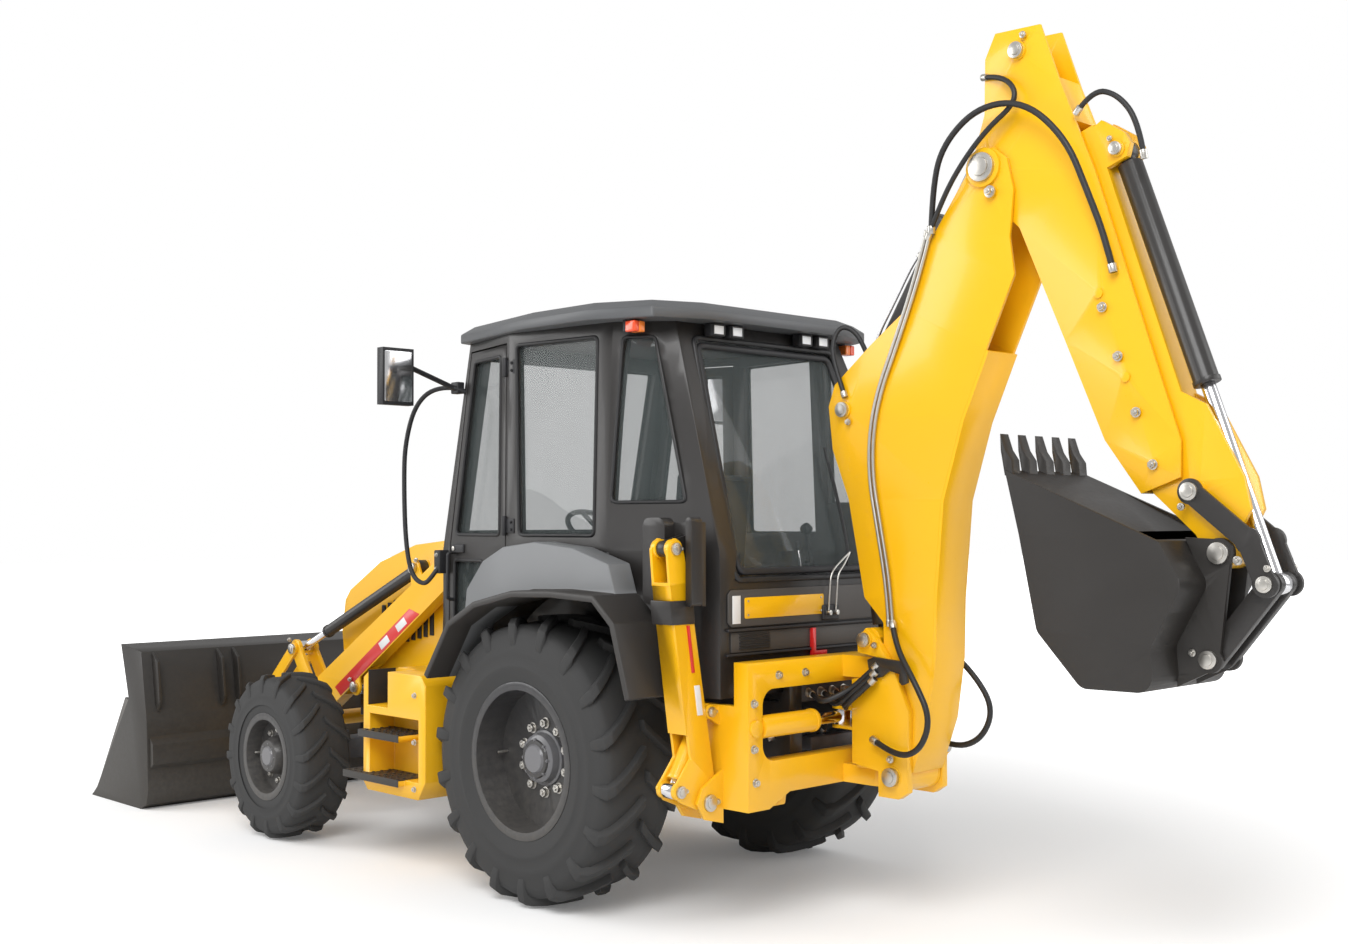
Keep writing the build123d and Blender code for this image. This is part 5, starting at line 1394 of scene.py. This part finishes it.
# ---------------------------------------------------------------- body
@dataclass
class Body(Assembly):
    """Steps, tank caps, headlamps, hood vents and the rear frame's plumbing."""

    def tanks(self) -> None:
        """Tread plates on the steps, the filler cap, near-black sheets of painted shade inside the tank's recess, and
        the bolts.
        """
        x0 = AXLE_X + 0.69
        pieces = []
        for z, reach in ((0.475, 1.240 + 0.125), (0.695, 1.240 - 0.015)):
            low, high = x0 + 0.173, AXLE_X + reach + 0.002
            pieces.append(brick("tread", (low, 0.871, z - 0.001), (high, 1.0602, z + 0.004), Look.CHARCOAL, 0.002))
            pieces.append(brick("tread_edge", (low, 1.0590, z - 0.032), (high, 1.0620, z + 0.004), Look.CHARCOAL,
                                0.001))
            studs = int((high - low) / 0.055)
            for i in range(studs):
                for y in (0.905, 0.955, 1.005, 1.045):
                    pieces.append(shaft("stud", (low + 0.03 + i * 0.055, y, z + 0.003),
                                        (low + 0.03 + i * 0.055, y, z + 0.008), 0.009, Look.CHARCOAL, 10, 0.002))
        self.pair(joined("steps_left", pieces), "chassis", "black_paint")
        # painted shade: a near-black sheet on the recess's back wall and one on its side wall stand in for the shade
        # inside it
        recess = slab("recess_left", [(x0 + 0.335, 0.824), (x0 + 0.508, 0.824), (x0 + 0.508, 0.962),
                                      (x0 + 0.335, 0.962)], 0.8495, 0.853, Look.TRIM, 0.002)
        cap = [shaft("filler", (x0 + 0.16, 0.80, 0.998), (x0 + 0.16, 0.80, 1.022), 0.048, Look.TRIM, 32, 0.005, 0.010)]
        painted_shade_side_wall = brick("painted_shade_side_wall", (AXLE_X + 1.1965, 0.852, 0.822), (AXLE_X + 1.2005, 1.016, 0.998), Look.TRIM, 0.001)
        self.pair(joined("recess_left", [recess, painted_shade_side_wall]), "chassis", "black_plastic")
        self.add(joined("filler_cap", cap), "chassis", "black_plastic")
        rows = [nut("tank_bolt", (x0 + dx, 1.020, z), (0, 1, 0), 0.012)
                for dx, z in ((0.09, 0.44), (0.09, 0.90), (0.09, 0.67))]
        self.pair(joined("tank_bolts_left", rows), "chassis", "chrome_rod")

    def hood(self) -> None:
        """Headlamps, side louvres and the dark mesh behind the grille."""
        nose = AXLE_X + 2.411
        y = 0.235
        case = brick("head_case", (nose - 0.010, y - 0.085, 1.225), (nose + 0.055, y + 0.085, 1.310), Look.TRIM, 0.012)
        lens = brick("head_lens", (nose + 0.045, y - 0.075, 1.233), (nose + 0.062, y + 0.075, 1.302), Look.CLEAR, 0.008)
        lamps = [case, lens]
        self.pair(joined("headlamp_left", lamps), "hood", "lamp_lens")
        louvres = [brick("louvre", (AXLE_X + 1.55 + 0.060 * i, 0.358, 1.12 - 0.012 * i),
                         (AXLE_X + 1.585 + 0.060 * i, 0.370, 1.40 - 0.016 * i), Look.TRIM, 0.004) for i in range(9)]
        self.pair(joined("hood_louvres_left", louvres), "hood", "black_plastic")
        screen = brick("radiator_screen", (AXLE_X + 2.36, -0.31, 0.93), (AXLE_X + 2.365, 0.31, 1.27), Look.CAST, 0.001)
        bars = [brick("screen_bar", (AXLE_X + 2.364, -0.30 + 0.05 * i, 0.93), (AXLE_X + 2.370, -0.294 + 0.05 * i, 1.27),
                      Look.TRIM, 0.001) for i in range(13)]
        self.add(joined("radiator_screen", [screen, *bars]), "hood", "black_plastic")

    def plumbing(self) -> None:
        """Valve block behind the window of the rear frame, its fittings and its hoses to the tower."""
        pieces = [brick("valve", (-1.600, -0.245, 0.955), (-1.500, 0.245, 1.035), Look.CAST, 0.006),
                  brick("valve_low", (-1.600, -0.18, 0.735), (-1.520, 0.18, 0.795), Look.CAST, 0.006)]
        for i in range(6):
            y = -0.2 + 0.08 * i
            pieces.append(nut("fitting", (-1.600, y, 0.995), (-1, 0, 0), 0.017))
            pieces.append(shaft("spool", (-1.560, y, 1.035), (-1.560, y, 1.062), 0.014, Look.CHROME, 20, 0.002, 0.003))
        self.add(joined("valve_block", pieces), "chassis", "cast_grey")
        for i, (y, z) in enumerate(((0.20, 1.14), (0.12, 1.11), (0.04, 1.08))):
            start = (-1.606, y, 0.995)
            side = 0.150 + 0.012 * i
            route = [(-1.955, side, z), (-1.90, side + 0.01, z - 0.05), (-1.82, side + 0.03, z - 0.12),
                     (-1.74, y + 0.07, 0.965 - 0.02 * i), (-1.66, y + 0.02, 0.985), start]
            hose = pipe(f"swing_hose_{i}_left", route, 0.012, Look.HOSE, 0.032)
            for obj, s in ((hose, 1), (mirrored(hose, f"swing_hose_{i}_right"), -1)):
                s * start[1]
                s * route[0][1]
                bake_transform(obj)
                self.made.append(obj.name)
        fixed = [pipe("return_hose", [(-1.55, y, 0.80), (-1.60, y, 0.86), (-1.60, y + 0.10, 0.90),
                                      (-1.56, y + 0.22, 0.84), (-1.50, y + 0.30, 0.80)], 0.014, Look.HOSE, 0.03)
                 for y in (-0.10, 0.06)]
        self.add(joined("return_hoses", fixed), "chassis", "tyre_rubber")

    def rear_pins(self) -> None:
        """Pins and bolts of the rear frame and the swing tower."""
        for z in (0.6, 0.74, 1.065, 1.16):
            cap = shaft("swing_pin", (-1.86, 0, z - 0.004), (-1.86, 0, z + 0.012), 0.040, Look.ZINC, 32, 0.003, 0.010)
            self.add(joined(f"swing_pin_{int(z * 1000)}", [cap]), "chassis", "chrome_rod")
        hook = slab("boom_hook", [(-1.915, 1.075), (-1.900, 1.155), (-1.935, 1.170), (-2.080, 1.160), (-2.112, 1.125),
                                  (-2.115, 1.070), (-2.085, 1.058), (-2.070, 1.072), (-2.072, 1.105), (-2.020, 1.115),
                                  (-1.975, 1.085)], 0.1415, 0.160, Look.BLACK, 0.004)
        self.add(hook, "swing_tower", "black_paint")
        bolts = [nut("frame_bolt", (-1.695, y, z), (-1, 0, 0), 0.015)
                 for y, z in ((0.50, 1.10), (0.33, 1.10), (0.655, 0.99), (0.655, 0.80), (0.645, 0.66))]
        self.pair(joined("frame_bolts_left", bolts), "chassis", "chrome_rod")

    def build(self) -> None:
        """Makes all of it."""
        for step in (self.tanks, self.hood, self.plumbing, self.rear_pins):
            step()


# ---------------------------------------------------------------- stabilisers
@dataclass
class Stabilisers(Assembly):
    """Reflectors, blank labels, wear bands and pins of the stabilisers."""

    middle: float = -1.475
    half: float = 0.055

    def build(self) -> None:
        """Makes both."""
        rear, front = self.middle - self.half, self.middle + self.half
        foot, top = Vector((0.790, 0.60)), Vector((0.925, 1.50))

        def on_leg(share: float, across: float) -> tuple[float, float]:
            """Point of the leg's rear side by its share of the height and its offset outwards."""
            return (foot.x + (top.x - foot.x) * share + across, foot.y + (top.y - foot.y) * share)

        strip = slab("reflector_left", [on_leg(0.58, -0.030), on_leg(0.58, -0.012), on_leg(0.80, -0.012),
                                        on_leg(0.80, -0.030)], rear - 0.003, rear + 0.001, Look.STRIPE, 0.0008, "YZ")
        label = slab("leg_label_left", [on_leg(0.38, -0.050), on_leg(0.38, -0.018), on_leg(0.52, -0.018),
                                        on_leg(0.52, -0.050)], rear - 0.0025, rear + 0.001, Look.WHITE, 0.0008, "YZ")
        self.pair(strip, "stabiliser_leg_left", "lamp_lens")
        self.pair(label, "stabiliser_leg_left", "lamp_lens")
        band = [slab("band", [(0.838, 1.325), (0.975, 1.325), (0.985, 1.425), (0.848, 1.425)], rear - 0.006,
                     front + 0.006, Look.BLACK, 0.004, "YZ")]
        self.pair(joined("leg_band_left", band), "stabiliser_leg_left", "black_paint")
        # columns: name, (y, z) on the left, head's radius, body, how far the ear stands out behind the leg
        pins = [("leg_pin", (0.772, 0.575), 0.036, "chassis", 0.0204),
                ("leg_ram_pin", (0.922, 0.635), 0.026, "stabiliser_leg_left", 0.0),
                ("pad_pin", (0.948, 1.640), 0.026, "stabiliser_leg_left", 0.0),
                ("leg_base_pin", (0.740, 0.950), 0.022, "chassis", 0.0)]
        for name, (y, z), radius, body, out in pins:
            head = shaft(name, (rear - out + 0.002, y, z), (rear - out - 0.012, y, z), radius, Look.ZINC, 28, 0.002,
                         radius * 0.35)
            bolt = nut(f"{name}_bolt", (rear - out - 0.001, y - radius * 1.3, z), (-1, 0, 0), radius * 0.3)
            self.pair(joined(f"{name}_left", [head, bolt]), body, "chrome_rod")


# ---------------------------------------------------------------- loader
@dataclass
class Loader(Assembly):
    """Pins, stripes, pipes and the cutting edge of the loader."""

    arm_out: float = 0.490

    def place(self, x: float, z: float) -> tuple[float, float]:
        """Place in the machine's frame of one measured from the rear axle."""
        return (AXLE_X + x, z)

    def on_arm(self, along: float, below: float) -> tuple[float, float]:
        """Point of the arm by its distance from the pivot towards the knee, and how far below that line it is."""
        return self.place(1.160 + 0.8526 * along - 0.5224 * below, 1.560 - 0.5224 * along - 0.8526 * below)

    def pins(self) -> None:
        """Pin heads on the outer side of every joint of the loader."""
        o = self.arm_out
        # columns: name, place from the rear axle, face that it stands on, head's radius, body, keeper's angle
        table = (("arm_pin", (1.160, 1.560), o + 0.0204, 0.045, "chassis", 120),
                 ("lift_base_pin", (1.010, 0.640), o + 0.0204, 0.034, "chassis", 200),
                 ("lift_rod_pin", (2.150, 0.800), o + 0.0078, 0.030, "loader_arms", 45),
                 ("tilt_base_pin", (1.560, 1.500), o + 0.0078, 0.030, "loader_arms", 130),
                 ("lever_pin", (2.570, 0.700), o + 0.0224, 0.038, "tilt_levers", 250),
                 ("lever_top_pin", (2.790, 0.985), o + 0.0408, 0.032, "tilt_links", 60),
                 ("loader_pin", (3.335, 0.280), o + 0.0224, 0.042, "loader_bucket", 200),
                 ("link_end_pin", (3.362, 0.466), o + 0.0408, 0.030, "loader_bucket", 20))
        for name, at, y, radius, body, flag in table:
            self.pin(name, self.place(*at), y, radius, body, flag)

    def stripes(self) -> None:
        """Red stripe along each arm with its two blank labels."""
        o = self.arm_out
        outline = ((0.46, 0.085), (0.53, 0.012), (1.44, 0.030), (1.41, 0.102))
        stripe = slab("arm_stripe_left", [self.on_arm(*p) for p in outline], o - 0.001, o + 0.002, Look.STRIPE, 0.0006)
        self.pair(stripe, "loader_arms", "lamp_lens")
        labels = []
        for s in (0.60, 0.80):
            labels.append(slab("arm_label", [self.on_arm(s + a, 0.014 + 0.02 * s + b)
                                             for a, b in ((0, 0), (0.10, 0.002), (0.09, 0.048), (-0.01, 0.046))],
                               o + 0.001, o + 0.003, Look.WHITE, 0.0004))
        self.pair(joined("arm_labels_left", labels), "loader_arms", "lamp_lens")

    def pipes(self) -> None:
        """Steel pipes along the inside of the arms, with their clamps."""
        y = 0.405
        for k in range(2):
            run = [(1.30, 1.54 - 0.03 * k), (1.60, 1.35 - 0.03 * k), (2.10, 1.00 - 0.03 * k), (2.44, 0.80 - 0.03 * k),
                   (2.70, 0.66 - 0.03 * k)]
            points = [(*self.place(x, 0)[:1], y - 0.004, z) for x, z in run]
            self.pair(pipe(f"loader_pipe_{k}_left", points, 0.008, Look.ZINC, 0.03), "loader_arms", "chrome_rod")
        clamps = [brick("clamp", (AXLE_X + x - 0.02, y - 0.014, z - 0.055), (AXLE_X + x + 0.02, y + 0.006, z + 0.020),
                        Look.TRIM, 0.003) for x, z in ((1.60, 1.35), (1.95, 1.105), (2.30, 0.885))]
        self.pair(joined("pipe_clamps_left", clamps), "loader_arms", "black_plastic")

    def bucket(self) -> None:
        """Cutting edge with its bolts, side cutters, rim bar and back ribs."""
        tip = AXLE_X + 4.225
        edge = slab("cutting_edge", [(tip - 0.010, 0.0), (tip, 0.004), (tip - 0.002, 0.010), (tip - 0.230, 0.026),
                                     (tip - 0.235, 0.012)], -1.148, 1.148, Look.WORN, 0.001)
        bolts = [nut("edge_bolt", (tip - 0.19, y / 10.0, 0.023), (0, 0, 1), 0.016, Look.WORN)
                 for y in range(-10, 11, 2)]
        self.add(joined("cutting_edge", [edge, *bolts]), "loader_bucket", "bucket_paint")
        outline = ((4.060, 0.030), (4.190, 0.020), (4.135, 0.080), (3.755, 0.665), (3.690, 0.640))
        cheek = slab("side_cutter_left", [self.place(*p) for p in outline], 1.128, 1.1485, Look.WORN, 0.003)
        self.pair(cheek, "loader_bucket", "bucket_paint")
        bar = ((3.545, 0.925), (3.812, 0.958), (3.812, 0.976), (3.545, 0.944))
        rim = [slab("rim_bar", [self.place(*p) for p in bar], -1.130, 1.130, Look.CHARCOAL, 0.004)]
        rib = ((3.436, 0.60), (3.405, 0.66), (3.440, 0.90), (3.520, 0.955), (3.470, 0.66))
        rim += [slab("back_rib", [self.place(*p) for p in rib], y - 0.009, y + 0.009, Look.CHARCOAL, 0.003)
                for y in (-1.08, -0.65, -0.54, 0.54, 0.65, 1.08)]
        self.add(joined("bucket_ribs", rim), "loader_bucket", "bucket_paint")

    def build(self) -> None:
        """Makes all of it."""
        for step in (self.pins, self.stripes, self.pipes, self.bucket):
            step()


def corners() -> list[list[float]]:
    """The object's box as plain lists."""
    return [[float(v) for v in p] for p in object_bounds()]


def main() -> None:
    """Builds the scene in order."""
    logging.basicConfig(level=logging.INFO, format="%(name)s: %(message)s")
    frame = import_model()
    Studio().build()
    finish_solids(frame["nodes"])
    front = Wheel(end="front", radius=0.455, half=0.155, bead=0.215, lip=0.135, lugs=16, lug=(0.022, 0.040), disc=0.055,
                  nuts=(10, 0.140, 0.015), cover=0.095)
    for part in (Wheel(), front, Backhoe(joints=frame["joints"]), Cab(), Body(), Stabilisers(), Loader()):
        part.build()


if __name__ == "__main__":
    main()
